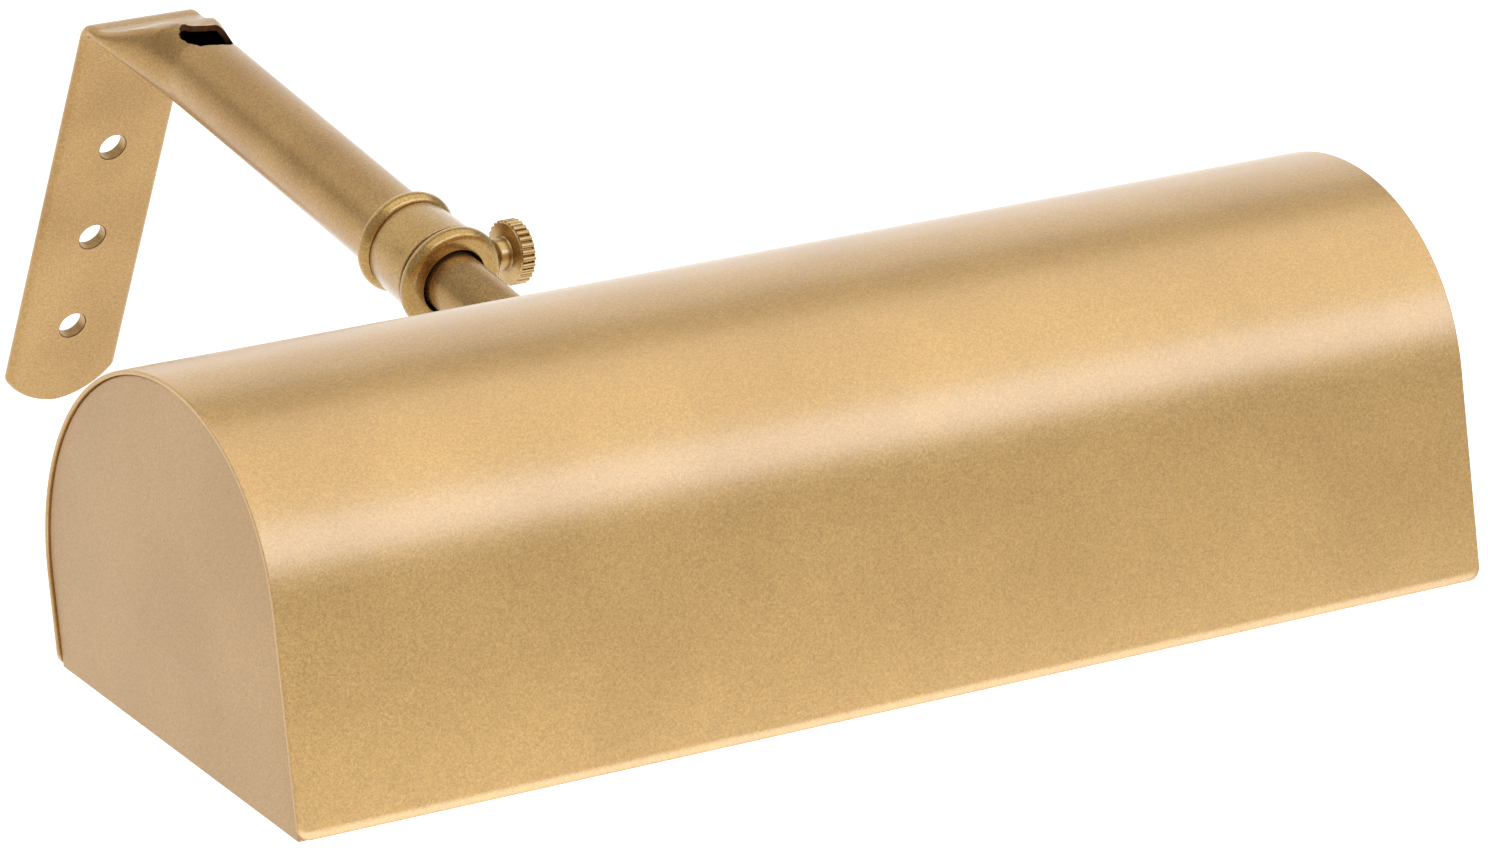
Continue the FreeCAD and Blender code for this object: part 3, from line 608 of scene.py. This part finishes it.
def stadium(half_width, half_thick, per_run=20, per_end=14):
    """Flattened tube's outline: two straight runs joined by half-round edges, clockwise from the top left."""
    straight = half_width - half_thick
    run = [straight * (2 * i / per_run - 1) for i in range(per_run)]
    turn = [math.pi * (0.5 - i / per_end) for i in range(per_end)]
    top = [(x, half_thick) for x in run]
    right = [(straight + half_thick * math.cos(a), half_thick * math.sin(a)) for a in turn]
    return top + right + [(-x, -y) for x, y in top + right]


def quartered_circle(radius, per_run=20, per_end=14):
    """A circle in four stretches that match a stadium's four."""
    run = [math.radians(120 - 60 * i / per_run) for i in range(per_run)]
    turn = [math.radians(60 - 120 * i / per_end) for i in range(per_end)]
    angles = run + turn + [a - math.pi for a in run + turn]
    return [(radius * math.cos(a), radius * math.sin(a)) for a in angles]


def ease(value):
    value = min(max(value, 0.0), 1.0)
    return value * value * (3 - 2 * value)


flat_to = 3.8
round_from = 23.8
seam_from = 4.8
top_round_from = 17.0        # the tube's top is round again sooner than its sides
dish_depth = 2.0
dish_middle = 2.0
dish_half_width = 3.2


def opening(station, start, end):
    """How far the tube has opened from flat to round, eased a little at both ends."""
    share = min(max((station - start) / (end - start), 0.0), 1.0)
    return 0.5 * share + 0.5 * ease(share)


def tube_section(station, from_station, half_thick, radius):
    """The outline of the tube's outside or bore where it opens from flat stock to round."""
    width_share = opening(station, from_station, round_from)
    height_share = opening(station, from_station, top_round_from)
    flat = stadium(strap_half if half_thick > 1 else strap_half - 1.05, half_thick)
    sunk = dish_depth * ease((station - flat_to - 0.5) / 7) * (1 - ease((station - 15) / 5))
    points = []
    for (x0, y0), (x1, y1) in zip(flat, quartered_circle(radius)):
        x = x0 + (x1 - x0) * width_share
        rise = height_share if y1 > 0 else width_share
        y = y0 - stock_drop + (y1 - y0 + stock_drop) * rise
        if y1 > 0:
            y -= sunk * math.exp(-((x - dish_middle) / dish_half_width) ** 4)
        points.append(Vector((x, y, station)))
    return points


def strap_rows():
    """Outlines up the strap, from its bowed and rounded end to the bend."""
    end_radius = 13.7
    corner = 2.0
    corner_x = strap_half - corner
    shoulder = end_radius - math.sqrt((end_radius - corner) ** 2 - corner_x ** 2)
    lean = math.atan2(corner_x, end_radius - shoulder)
    arc = [lean * i / 16 for i in range(1, 17)]
    outline = [(end_radius * math.sin(a), end_radius * (1 - math.cos(a))) for a in arc]
    turns = [lean + (math.pi / 2 - lean) * i / 6 for i in range(1, 7)]
    outline += [(corner_x + corner * math.sin(a), shoulder - corner * math.cos(a)) for a in turns]
    rows = []
    for half, rise in outline:
        section = stadium(half, min(strap_thick / 2, half * 0.95))
        rows.append([Vector((x, strap_thick / 2 + y, strap_low + rise)) for x, y in section])
    top = bend_point.z / MM - bend_tangent
    heights = np.linspace(strap_low + shoulder, top, 12)[1:]
    section = stadium(strap_half, strap_thick / 2)
    rows += [[Vector((x, strap_thick / 2 + y, z)) for x, y in section] for z in heights]
    return [[ARM.inverted() @ (LIGHT @ p) for p in row] for row in rows]


bend_turn = math.acos(FORWARD.z)
bend_middle = bend_inside + strap_thick / 2
bend_tangent = bend_middle * math.tan(bend_turn / 2)


def bend_rows():
    """Outlines round the bend, from the strap's top to the arm's flat start."""
    steps = 14
    rows = []
    for i in range(1, steps):
        turn = bend_turn * (1 - i / steps)
        row = []
        for x, y in stadium(strap_half, strap_thick / 2):
            out = bend_middle + y
            row.append(Vector((x, -stock_drop - bend_middle + out * math.cos(turn),
                               bend_tangent - out * math.sin(turn))))
        rows.append(row)
    return rows


def strap_hole(height):
    """A drilled hole through the strap with a small burr chamfer at both faces."""
    burr = 0.14
    past = 2.0
    wide = hole_radius + past + burr
    profile = [(0, -past), (wide, -past), (hole_radius, burr), (hole_radius, strap_thick - burr)]
    profile += [(wide, strap_thick + past), (0, strap_thick + past)]
    spot = place_at(Vector((0, 0, height)) * MM, RIGHT, Vector((0, 0, -1)), Vector((0, 1, 0)))
    return turned(profile, 48, 0, {1: 1, 3: 1}), spot


def cord_opening():
    """The rough oval opening in the arm's top, wider above than below, with a torn edge."""
    middle = (1.3, 22.0)
    count = 96

    def outline(share, height):
        points = []
        for i in range(count):
            a = 2 * math.pi * i / count
            ragged = 1 + 0.05 * math.cos(2 * a + 0.5) + 0.045 * math.cos(3 * a + 1.2)
            ragged += 0.02 * math.cos(7 * a + 2.0) + 0.016 * math.cos(13 * a) + 0.01 * math.cos(23 * a + 1)
            radius = 5.35 * share * ragged
            points.append((middle[0] + radius * math.cos(a), height, middle[1] + radius * math.sin(a)))
        return points
    shape = Shape()
    levels = ((0.86, 2.2), (0.90, 4.2), (1.0, 6.6), (1.07, 9.0))
    rings = shape.grid([outline(share, height) for share, height in levels], True, 1)
    shape.face(rings[0], 1)
    shape.face(reversed(rings[-1]), 1)
    return shape, ARM


def bracket_arm():
    shape = Shape()
    outer_stations = np.concatenate([np.linspace(bend_tangent, flat_to, 4), np.linspace(4.3, round_from, 48),
                                     np.linspace(25, 30, 8), np.linspace(34, tube_front, 12)])
    outer = strap_rows() + bend_rows()
    outer += [tube_section(s, flat_to, strap_thick / 2, tube_radius) for s in outer_stations]
    bore_stations = np.concatenate([np.linspace(seam_from, round_from, 40), np.linspace(25, tube_front, 16)])
    bore = [tube_section(s, seam_from, 0.1, tube_bore) for s in bore_stations]
    outside = shape.grid(outer, True, 0)
    inside = shape.grid(bore, True, 2, True)
    shape.face(reversed(outside[0]), 0)
    shape.face(inside[0], 2)
    shape.bridge([outside[-1], inside[-1]], True, 0)
    holes = [strap_hole(height) for height in (-hole_pitch, 0, hole_pitch)]
    return piece("bracket_arm", shape, ARM, [ARM_GOLD_PAINTED_SHADE, RAW_EDGE_AND_GROOVE_SHADE, BORE_PAINTED_SHADE], "bracket", 32,
                 holes + [cord_opening()])


def arm_collar():
    """Turned collar: a round bead at each end with a fine dark line of painted shade inside it, and a tapered
    body.
    """
    top = outer_radius("arm_collar", ARM)
    rear_top = top - 0.25
    bore = inner_radius + 0.6
    profile = [(tube_radius - 0.02, collar_back)]
    profile += arc_points((rear_top - 1.7, collar_back + 1.7), 1.7, -78, 60, 14)
    # The step into each bead's groove takes the dark edge colour as painted shade.
    rear_groove_shade = len(profile)
    profile += [(rear_top - 1.05, collar_back + 3.25), (rear_top - 1.05, collar_back + 3.6)]
    profile += [(rear_top - 0.98, collar_back + 3.9), (top - 0.95, collar_front - 6.0)]
    profile += [(top - 0.72, collar_front - 3.7)]
    front_groove_shade = len(profile)
    profile += [(top - 0.85, collar_front - 3.55), (top - 0.85, collar_front - 3.2)]
    profile += arc_points((top - 1.65, collar_front - 1.65), 1.65, -62, 90, 16)
    profile += [(bore + 0.5, collar_front - 0.02), (bore + 0.12, collar_front - 0.16)]
    profile += [(bore, collar_front - 0.5), (bore, tube_front), (tube_radius - 0.02, tube_front)]
    shape = turned(profile, 128, 0, {rear_groove_shade: 1, front_groove_shade: 1})
    return piece("arm_collar", shape, ARM, [COLLAR_GOLD, RAW_EDGE_AND_GROOVE_SHADE, BORE_PAINTED_SHADE], "bracket", 30,
                 [(drill(2.05, 0, 12, 32, 2), THUMB)])


def thumbscrew():
    """Round head with straight coarse ribs between two plain rims, on a stepped neck and a threaded shank."""
    low, high = span("thumbscrew", THUMB)
    inner_face = high - 3.1
    neck = inner_face - 2.4
    top = outer_radius("thumbscrew", THUMB)
    rib = 0.5
    profile = [(0, low), (1.45, low), (1.8, low + 0.35), (1.8, neck - 0.25), (2.6, neck - 0.02)]
    profile += [(2.82, neck + 0.18)]
    profile += [(2.9, neck + 0.4), (2.9, inner_face - 0.35), (3.05, inner_face - 0.08), (3.4, inner_face)]
    profile += [(top - 0.95, inner_face), (top - 0.5, inner_face + 0.12), (top - 0.32, inner_face + 0.38)]
    profile += [(top - 0.68, inner_face + 0.5), (top - 0.68, high - 0.5), (top - 0.32, high - 0.38)]
    profile += [(top - 0.5, high - 0.12), (top - 0.95, high), (top - 1.9, high), (top - 2.3, high - 0.14)]
    profile += [(0, high - 0.14)]
    shape = turned(profile, 72)
    thread(shape, 1.8, low + 0.6, neck - 0.5, 0.7, 0.2)
    ribs = RIBS.run(Count=28, Ring=top - rib - 0.03, Rib=rib, Length=high - inner_face - 0.62)
    add_mesh(shape, ribs, Matrix.Translation((0, 0, (inner_face + high) / 2)))
    return piece("thumbscrew", shape, THUMB, [THUMB_BRASS], "thumbscrew", 28)


def thumbscrew_pad():
    low, high = span("thumbscrew_pad", THUMB)
    radius = outer_radius("thumbscrew_pad", THUMB)
    profile = [(0, low + 0.05), (radius - 0.4, low), (radius - 0.1, low + 0.1), (radius, low + 0.3)]
    profile += [(radius, high - 0.15), (radius - 0.15, high), (0, high)]
    return piece("thumbscrew_pad", turned(profile, 32), THUMB, [NYLON], "clamp_pad")


def inner_tube():
    bore = inner_radius - inner_wall
    profile = [(bore, inner_back), (inner_radius - 0.2, inner_back), (inner_radius, inner_back + 0.2)]
    profile += [(inner_radius, inner_front - 0.25), (inner_radius - 0.08, inner_front - 0.08)]
    profile += [(inner_radius - 0.25, inner_front), (bore + 0.15, inner_front), (bore, inner_front - 0.15)]
    return piece("inner_tube", turned(profile, 96), ARM, [TUBE_GOLD_PAINTED_SHADE], "inner_arm")


def inner_tube_bush():
    outside = outer_radius("inner_tube_bush", ARM)
    middle = (inner_back + bush_front) / 2
    profile = [(inner_radius, inner_back), (outside - 0.3, inner_back), (outside, inner_back + 0.4)]
    profile += [(outside, middle - 0.7), (outside - 0.3, middle - 0.5), (outside - 0.3, middle + 0.5)]
    profile += [(outside, middle + 0.7), (outside, bush_front - 0.4), (outside - 0.3, bush_front)]
    profile += [(inner_radius, bush_front)]
    return piece("inner_tube_bush", turned(profile, 72), ARM, [NYLON], "slide_bush")


# ---- swivel


def swivel_screws():
    """Shoulder screws with domed slotted heads, one on each side."""
    ear_side = 7.6
    head = 2.8
    shape = Shape()
    for side in (-1, 1):
        before = len(shape.points)
        dome = arc_points((0, ear_side + 0.1 - 3.6), 5.0, math.degrees(math.acos(head / 5.0)), 89.9, 8)
        profile = [(0, 3.0), (1.25, 3.0), (1.5, 3.3), (1.5, 4.3), (1.6, 4.5), (1.6, ear_side + 0.1)]
        profile += [(head - 0.1, ear_side + 0.1), (head, ear_side + 0.25)]
        profile += [(r, min(z, ear_side + 1.7)) for r, z in dome[1:]]
        profile[-1] = (0, profile[-1][1])
        shape.turn(profile, 40)
        shape.move(before, lambda p: Vector((side * p.z, side * p.y, pin_station + p.x)))
    slots = [(box((x, -0.42, pin_station - 4), (x + 2.5, 0.42, pin_station + 4)), ARM) for x in (-11, 8.5)]
    return piece("swivel_screws", shape, ARM, [BRASS], "inner_arm", 30, slots)


# ---- shade


def outline_point(along, inset):
    """A point of the shade's section, set in by inset, from the rear skirt's foot over the arch."""
    radius = arch_radius - inset
    arch = math.pi * arch_radius
    if along < rear_skirt:
        return Vector((0, radius, along - rear_skirt))
    if along > rear_skirt + arch:
        return Vector((0, -radius, rear_skirt + arch - along))
    angle = (along - rear_skirt) / arch_radius
    return Vector((0, radius * math.cos(angle), radius * math.sin(angle)))


outline_length = rear_skirt + math.pi * arch_radius + front_skirt


def shade_shell():
    """Rolled sheet with softly rounded corners and edges."""
    across = 56
    down = 110
    corner_steps = 7
    corner = 2.2

    def column(i, inset):
        """Where column i stands, and how far its ends stop short for the rounded corners."""
        half = shade_half - inset
        curve = corner - inset
        turn = min(i, across - i, corner_steps) / corner_steps * math.pi / 2
        side = -1 if i < across / 2 else 1
        if turn < math.pi / 2:
            return side * (half - curve + curve * math.cos(turn)), curve * (1 - math.sin(turn))
        inner = across - 2 * corner_steps
        return (half - curve) * (2 * (i - corner_steps) / inner - 1), 0.0

    def point(i, j, inset, depth):
        x, short = column(i, inset)
        low = inset + short
        high = outline_length - inset - short
        spot = outline_point(low + (high - low) * j / down, depth)
        return spot + Vector((x, 0, 0))

    def loop(inset, depth):
        around = [(i, 0) for i in range(across)] + [(across, j) for j in range(down)]
        around += [(across - i, down) for i in range(across)] + [(0, down - j) for j in range(down)]
        return [point(i, j, inset, depth) for i, j in around]

    def face(inset, depth, flip):
        return shape.grid([[point(i, j, inset, depth) for i in range(across + 1)] for j in range(down + 1)],
                          False, 0, flip)
    shape = Shape()
    face(0.22, 0, False)
    rim = ((0.22, 0), (0.07, 0.07), (0, 0.24), (0, sheet - 0.24), (0.07, sheet - 0.07), (0.22, sheet))
    shape.grid([loop(inset, depth) for inset, depth in rim], True)
    face(0.22, sheet, True)
    return piece("shade_shell", shape, SHADE, [GOLD], "shade", 38,
                 [(drill(5.0, 30, 38, 48), NIPPLE)])


def shade_end(node, side):
    """Pressed end plate: a flat face, a rounded bend all round the arch and a flange turned inwards."""
    set_back = 0.45
    flange = 6.0
    steps = 120

    def offsets(skin, radius):
        """(inset, depth) steps from the flange's end round the bend to the flat face."""
        across, along = sheet + skin + radius, set_back + skin + radius
        turns = [math.radians(90 * k / 6) for k in range(7)]
        bend = [(across - radius * math.cos(a), along - radius * math.sin(a)) for a in turns]
        return [(sheet + skin, flange)] + bend

    def rows(skin, radius):
        made = []
        for inset, depth in offsets(skin, radius):
            line = [outline_point(outline_length * j / steps, inset) for j in range(steps + 1)]
            made.append([p + Vector((side * (shade_half - depth), 0, 0)) for p in line])
        rear, front = made[-1][0], made[-1][-1]
        made.append([rear.lerp(front, j / steps) for j in range(steps + 1)])
        return made
    ring = rows(0, 0.45) + rows(sheet, 0.1)[::-1]
    shape = Shape()
    numbered = shape.grid(ring + ring[:1])
    for j in (0, steps):
        shape.face([row[j] for row in numbered[:-1]])
    return piece(node, shape, SHADE, [END_GOLD_PAINTED_LIGHT], "shade", 30)


# ---- nipple and what it clamps


def hollow_nipple():
    low, high = span("hollow_nipple", NIPPLE)
    radius = outer_radius("hollow_nipple", NIPPLE)
    profile = [(3.5, low + 0.2), (3.7, low), (radius - 0.45, low), (radius - 0.2, low + 0.3)]
    profile += [(radius - 0.2, high - 0.3), (radius - 0.45, high), (3.7, high), (3.5, high - 0.2)]
    shape = turned(profile, 64)
    thread(shape, radius - 0.22, low + 0.4, high - 0.4, 0.94, 0.2)
    return piece("hollow_nipple", shape, NIPPLE, [ZINC], "shade")


def nipple_bushing():
    low, high = span("nipple_bushing", NIPPLE)
    flange = outer_radius("nipple_bushing", NIPPLE)
    profile = [(2.8, low + 0.5), (3.3, low), (flange - 0.5, low), (flange, low + 0.5), (flange, low + 1.5)]
    profile += [(3.5, low + 1.5), (3.5, high - 0.3), (3.2, high), (2.8, high)]
    return piece("nipple_bushing", turned(profile, 56), NIPPLE, [BLACK_PLASTIC], "shade")


# ---- lampholder and its leads

lead_radius = 1.1
lamp_pitch = 3.6


def lampholder_body():
    """Moulded cup with a ribbed grip band and rounded rims."""
    length = span("lampholder_body", LAMP)[1]
    radius = outer_radius("lampholder_body", LAMP)
    seat = outer_radius("lampholder_shell", LAMP)
    profile = [(0, 0)] + arc_points((radius - 2.2, 2.2), 2.2, -90, 0, 8)
    for start in (6.0, 9.0, 12.0):
        profile += [(radius, start), (radius - 0.5, start + 0.4)]
        profile += [(radius - 0.5, start + 1.2), (radius, start + 1.6)]
    profile += arc_points((radius - 0.9, length - 0.9), 0.9, 0, 90, 5)
    profile += [(seat + 0.5, length), (seat, length - 0.5), (seat, 11), (0, 11)]
    ways = [(drill(2.0, -1, 7, 32), LAMP)]
    for side in (-1, 1):
        spot = place_at(SHADE @ lead_entry(side), -CROWN, REARWARD, RIGHT)
        ways.append((drill(lead_radius, -1, 4, 24), spot))
    return piece("lampholder_body", turned(profile, 96), LAMP, [PHENOLIC], "shade", 30, ways)


def lampholder_shell():
    low, high = span("lampholder_shell", LAMP)
    outside = outer_radius("lampholder_shell", LAMP)
    profile = [(6.0, low), (outside, low), (outside, high), (outside - 0.25, high)]
    profile += [(outside - 0.35, high - 0.2), (outside - 0.35, low + 0.5), (6.0, low + 0.5)]
    shape = turned(profile, 96)
    thread(shape, outside - 0.34, low + 3, high - 1, lamp_pitch, 0.3)
    return piece("lampholder_shell", shape, LAMP, [CONTACT_BRASS], "shade")


def lampholder_contact():
    low, high = span("lampholder_contact", LAMP)
    profile = [(0, low), (3.7, low), (4.0, low + 0.2), (3.9, low + 0.4), (2.6, low + 0.45)]
    profile += [(1.9, high - 0.1), (1.3, high), (0, high)]
    return piece("lampholder_contact", turned(profile, 48), LAMP, [CONTACT_BRASS], "shade")


def lampholder_screw():
    low, high = span("lampholder_screw", LAMP)
    profile = [(0, high), (1.3, high), (1.75, high - 0.5), (1.75, -1.5), (3.7, -1.5), (3.8, -1.7)]
    profile += [(3.8, low + 0.9), (3.5, low + 0.45), (2.6, low + 0.12), (0, low)]
    shape = turned(profile[::-1], 56)
    thread(shape, 1.8, -1.0, high - 0.6, 0.8, 0.19)
    return piece("lampholder_screw", shape, LAMP, [ZINC], "shade", 30,
                 [(box((-0.5, -5, low - 1), (0.5, 5, low + 0.9)), LAMP)])


def lead_entry(side):
    """Where a lead enters the lampholder's back, beside the strap."""
    beside = side * 10.5
    return Vector((holder_plane, beside * math.sin(swivel_angle), -beside * math.cos(swivel_angle)))


def splice_end(side):
    """Where each lead ends, inside the rear skirt, one below the other."""
    outer = Vector((-28.0, arch_radius - sheet - 4.2, -9.5))
    return outer if side > 0 else outer + Vector((0, -6.6, 1.0))


def rounded_path(points, radius, steps=8):
    """Straight runs joined by tangent arcs."""
    path = [points[0]]
    for before, corner, after in zip(points, points[1:], points[2:]):
        into = (corner - before).normalized()
        out = (after - corner).normalized()
        turn = into.angle(out)
        first = corner - into * radius * math.tan(turn / 2)
        centre = first + (out - into * into.dot(out)).normalized() * radius
        for k in range(steps + 1):
            share = turn * k / steps
            path.append(centre + (first - centre) * math.cos(share) + into * radius * math.sin(share))
    return path + [points[-1]]


def lead(node, side, finish):
    """A lampholder's lead, from its back round and along inside the rear skirt."""
    start = lead_entry(side) + Vector((4, 0, 0))
    back = holder_plane - (10.0 if side > 0 else 7.0)
    end = splice_end(side)
    route = [start, Vector((back, start.y, start.z)), Vector((back, end.y, end.z)), end]
    shape = Shape()
    shape.tube(rounded_path(route, 6.0), lead_radius, 16)
    return piece(node, shape, SHADE, [finish], "shade", 50)


def splice_caps():
    """Closed crimp caps with a rounded end and two pressed rings."""
    shape = Shape()
    for side in (-1, 1):
        before = len(shape.points)
        profile = [(lead_radius, 0), (2.6, 0), (3.0, 0.4), (3.0, 2.6), (2.5, 3.2), (2.5, 4.2)]
        profile += [(3.0, 4.8), (3.0, 6.4), (2.5, 7.0), (2.5, 8.0), (3.0, 8.6)]
        profile += arc_points((0.6, 11.6), 2.4, 0, 90, 7)
        profile += [(0, 14), (0, 4), (lead_radius, 4)]
        shape.turn(profile, 40)
        shape.move(before, lambda p: splice_end(side) + Vector((p.z - 4.0, p.x, p.y)))
    return piece("splice_caps", shape, SHADE, [CRIMP], "shade")


# ---- bulb

glass_wall = 0.8


def glass_profile(inset):
    """The tubular bulb's side from its neck to its round end, set in by inset."""
    low, high = span("bulb_glass", LAMP)
    body = outer_radius("bulb_glass", LAMP) - inset
    neck = outer_radius("bulb_cap", LAMP) - 0.7 - inset
    points = [(neck, low)]
    for k in range(15):
        share = k / 14
        points.append((neck + (body - neck) * ease(share), low + 6 + 16 * share))
    dome = arc_points((0, high - inset - body), body, 0, 90, 16)
    return points + dome[:-1] + [(0, high - inset)]


def bulb_glass():
    shape = turned(glass_profile(0) + glass_profile(glass_wall)[::-1], 96)
    return piece("bulb_glass", shape, LAMP, [GLASS], "shade", 60)


def bulb_cap():
    low, high = span("bulb_cap", LAMP)
    radius = outer_radius("bulb_cap", LAMP)
    profile = [(6.5, low), (radius - 2.3, low), (radius - 0.9, low + 0.9), (radius - 0.45, low + 2.2)]
    profile += [(radius - 0.35, low + 3.2), (radius - 0.35, high - 4.2), (radius, high - 3.6)]
    profile += [(radius, high - 0.3), (radius - 0.2, high), (radius - 0.5, high), (radius - 0.6, high - 3.4)]
    profile += [(radius - 0.75, high - 4.4), (radius - 0.75, low + 3.2), (6.5, low + 0.5)]
    shape = turned(profile, 96)
    thread(shape, radius - 0.42, low + 3.2, high - 4.6, lamp_pitch, 0.4)
    return piece("bulb_cap", shape, LAMP, [CAP_METAL], "shade")


def bulb_insulator():
    low, high = span("bulb_insulator", LAMP)
    profile = [(0, low), (4.3, low), (4.8, low + 0.2), (8.2, high - 0.8), (8.4, high - 0.55)]
    profile += [(6.5, high - 0.5), (6.5, high), (0, high)]
    return piece("bulb_insulator", turned(profile, 64), LAMP, [BLACK_GLASS], "shade")


def bulb_contact():
    low, high = span("bulb_contact", LAMP)
    radius = outer_radius("bulb_contact", LAMP)
    turns = [math.radians(a) for a in range(10, 91, 10)]
    dome = [(radius * math.sin(a), high - (high - low) * math.cos(a)) for a in turns]
    shape = turned([(0, low)] + dome + [(0, high)], 48)
    return piece("bulb_contact", shape, LAMP, [SOLDER], "shade")


def bulb_stem():
    """Flared foot and a drawn rod, pinched flat-shouldered near its top."""
    low, high = span("bulb_stem", LAMP)
    flare = outer_radius("bulb_stem", LAMP)
    rod = 4.0
    profile = [(0, low), (flare, low), (flare, low + 0.8)]
    profile += [(rod + (flare - rod) * (1 - k / 8) ** 2.4, low + 0.8 + 8 * k / 8) for k in range(1, 9)]
    profile += [(rod - 0.5, high - 9), (rod - 1.3, high - 6), (rod - 1.6, high - 3.2)]
    profile += [(rod - 0.9, high - 1.4), (rod - 1.2, high - 0.4), (rod - 2.0, high), (0, high)]
    return piece("bulb_stem", turned(profile, 56), LAMP, [GLASS], "shade", 60)


hook_reach = 7.0
hook_step = 24.0


def hook_heights():
    low, high = span("bulb_supports", LAMP)
    count = int(round((high - low - 2.0) / hook_step)) + 1
    return [low + 1 + hook_step * i for i in range(count)]


def bulb_supports():
    """A fine spine up the bulb with an arm and a bent eye to one side at each step."""
    low, high = span("bulb_supports", LAMP)
    shape = Shape()
    shape.tube([Vector((0, 0, low + (high - low) * k / 12)) for k in range(13)], 0.35, 10)
    for i, height in enumerate(hook_heights()):
        side = 1 if i % 2 else -1
        arm = [(side * hook_reach * k / 6, 0, height + 0.5 * math.sin(math.pi * k / 6)) for k in range(7)]
        shape.tube([Vector(p) for p in arm], 0.3, 10)
        eye = [Vector((side * hook_reach, 0.55 - 0.55 * math.cos(a), height + 0.55 * math.sin(a)))
               for a in np.linspace(0, 1.6 * math.pi, 14)]
        shape.tube(eye, 0.16, 8)
    return piece("bulb_supports", shape, LAMP, [WIRE], "shade", 60)


def bulb_filament():
    """Coiled wire that runs from eye to eye up the bulb."""
    shape = Shape()
    spots = [Vector(((1 if i % 2 else -1) * hook_reach, 0.55, z)) for i, z in enumerate(hook_heights())]
    for start, end in zip(spots, spots[1:]):
        length = (end - start).length
        coil = HELIX.run(Turns=length / 0.55, Radius=0.27, Rise=length, Wire=0.08, Steps=8, Sides=5)
        turn = (end - start).to_track_quat("Z", "Y").to_matrix().to_4x4()
        add_mesh(shape, coil, Matrix.Translation(start) @ turn)
    return piece("bulb_filament", shape, LAMP, [WIRE], "shade", 60)


# ---- the pieces

bracket_arm()
arm_collar()
thumbscrew()
thumbscrew_pad()
inner_tube()
inner_tube_bush()
swivel_screws()
from_cad("swivel_tongue", BRASS, "inner_arm", 0.35)
from_cad("swivel_washers", FIBRE, "inner_arm", 0.08)
from_cad("swivel_fork", BRASS, "shade", 0.4)
shade_shell()
shade_end("shade_end_left", -1)
shade_end("shade_end_right", 1)
from_cad("saddle_washer_outer", BRASS, "shade", 0.15)
from_cad("saddle_washer_inner", ZINC, "shade", 0.15)
hollow_nipple()
from_cad("nipple_lock_washer", ZINC, "shade", 0.15)
from_cad("nipple_nut", ZINC, "shade", 0.3)
nipple_bushing()
from_cad("socket_strap", ZINC, "shade", 0.2)
lampholder_body()
lampholder_shell()
lampholder_contact()
lampholder_screw()
lead("lead_black", -1, BLACK_WIRE)
lead("lead_white", 1, WHITE_WIRE)
splice_caps()
bulb_glass()
bulb_cap()
bulb_insulator()
bulb_contact()
bulb_stem()
bulb_supports()
bulb_filament()

# ---- floor, lights and camera


def pale_floor():
    """A wide pale floor far below, so that its tone stays even."""
    shape = Shape()
    size = 6000
    shape.grid([[(-size, -size, 0), (size, -size, 0)], [(-size, size, 0), (size, size, 0)]])
    low = place_at(Vector((0, 0, -0.40)), RIGHT, Vector((0, 1, 0)), Vector((0, 0, 1)))
    finish = Finish("pale_floor")
    dust = finish.noise(0.3, 2.0)
    colour = finish.blend(finish.level(dust, 0.3, 0.7), rgb(0.90, 0.90, 0.90), rgb(0.93, 0.93, 0.93))
    surface = finish.surface(Base_Color=colour, Roughness=0.9, Emission_Color=rgb(1, 1, 1),
                             Emission_Strength=0.5)
    floor = mesh_of("pale_floor", shape, low, [surface])


def strip_light(name, rise, distance, middle, length, height, glow, tint=(1, 1, 1)):
    """A softbox parallel to the shade, raised by an angle from the front. Glow is its brightness."""
    lamp = bpy.data.lights.new(name, "AREA")
    lamp.shape = "RECTANGLE"
    lamp.size = length
    lamp.size_y = height
    lamp.energy = glow * math.pi * length * height
    lamp.color = tint
    out = Vector((0, -math.cos(math.radians(rise)), math.sin(math.radians(rise))))
    holder = bpy.data.objects.new(name, lamp)
    bpy.context.scene.collection.objects.link(holder)
    turned = Matrix((RIGHT, out.cross(RIGHT), out)).transposed().to_4x4()
    holder.matrix_world = Matrix.Translation(SHADE.translation + RIGHT * middle + out * distance) @ turned
    holder.visible_camera = False


def studio():
    world = bpy.data.worlds.new("studio")
    bpy.context.scene.world = world
    world.use_nodes = True
    world.node_tree.nodes["Background"].inputs["Color"].default_value = (1.0, 1.0, 1.0, 1.0)
    world.node_tree.nodes["Background"].inputs["Strength"].default_value = 0.53
    strip_light("key_softbox", 56, 1.1, 0.7, 2.0, 0.46, 1.9, (0.86, 1.03, 1.55))
    strip_light("overhead_softbox", 99, 1.3, 0.6, 2.8, 1.40, 0.93)
    strip_light("rear_softbox", 169, 1.3, 0.6, 2.8, 0.9, 0.60)
    strip_light("low_softbox", 1, 0.19, 0.0, 0.5, 0.05, 2.8, (0.92, 1.0, 1.2))


def camera():
    """Looks down on the light from its front left."""
    right = Vector((0.82554, -0.51729, 0.22561))
    up = Vector((0.16409, 0.60253, 0.78105))
    back = right.cross(up)
    lens = bpy.data.cameras.new("camera")
    lens.sensor_width = 36.0
    lens.lens = 200.96
    lens.clip_end = 50.0
    holder = bpy.data.objects.new("camera", lens)
    bpy.context.scene.collection.objects.link(holder)
    turned_to = Matrix((right, up, back)).transposed().to_4x4()
    holder.matrix_world = Matrix.Translation((-0.72355, -0.99998, 0.87993)) @ turned_to
    bpy.context.scene.camera = holder


pale_floor()
studio()
camera()
bpy.context.scene.view_settings.view_transform = "Standard"
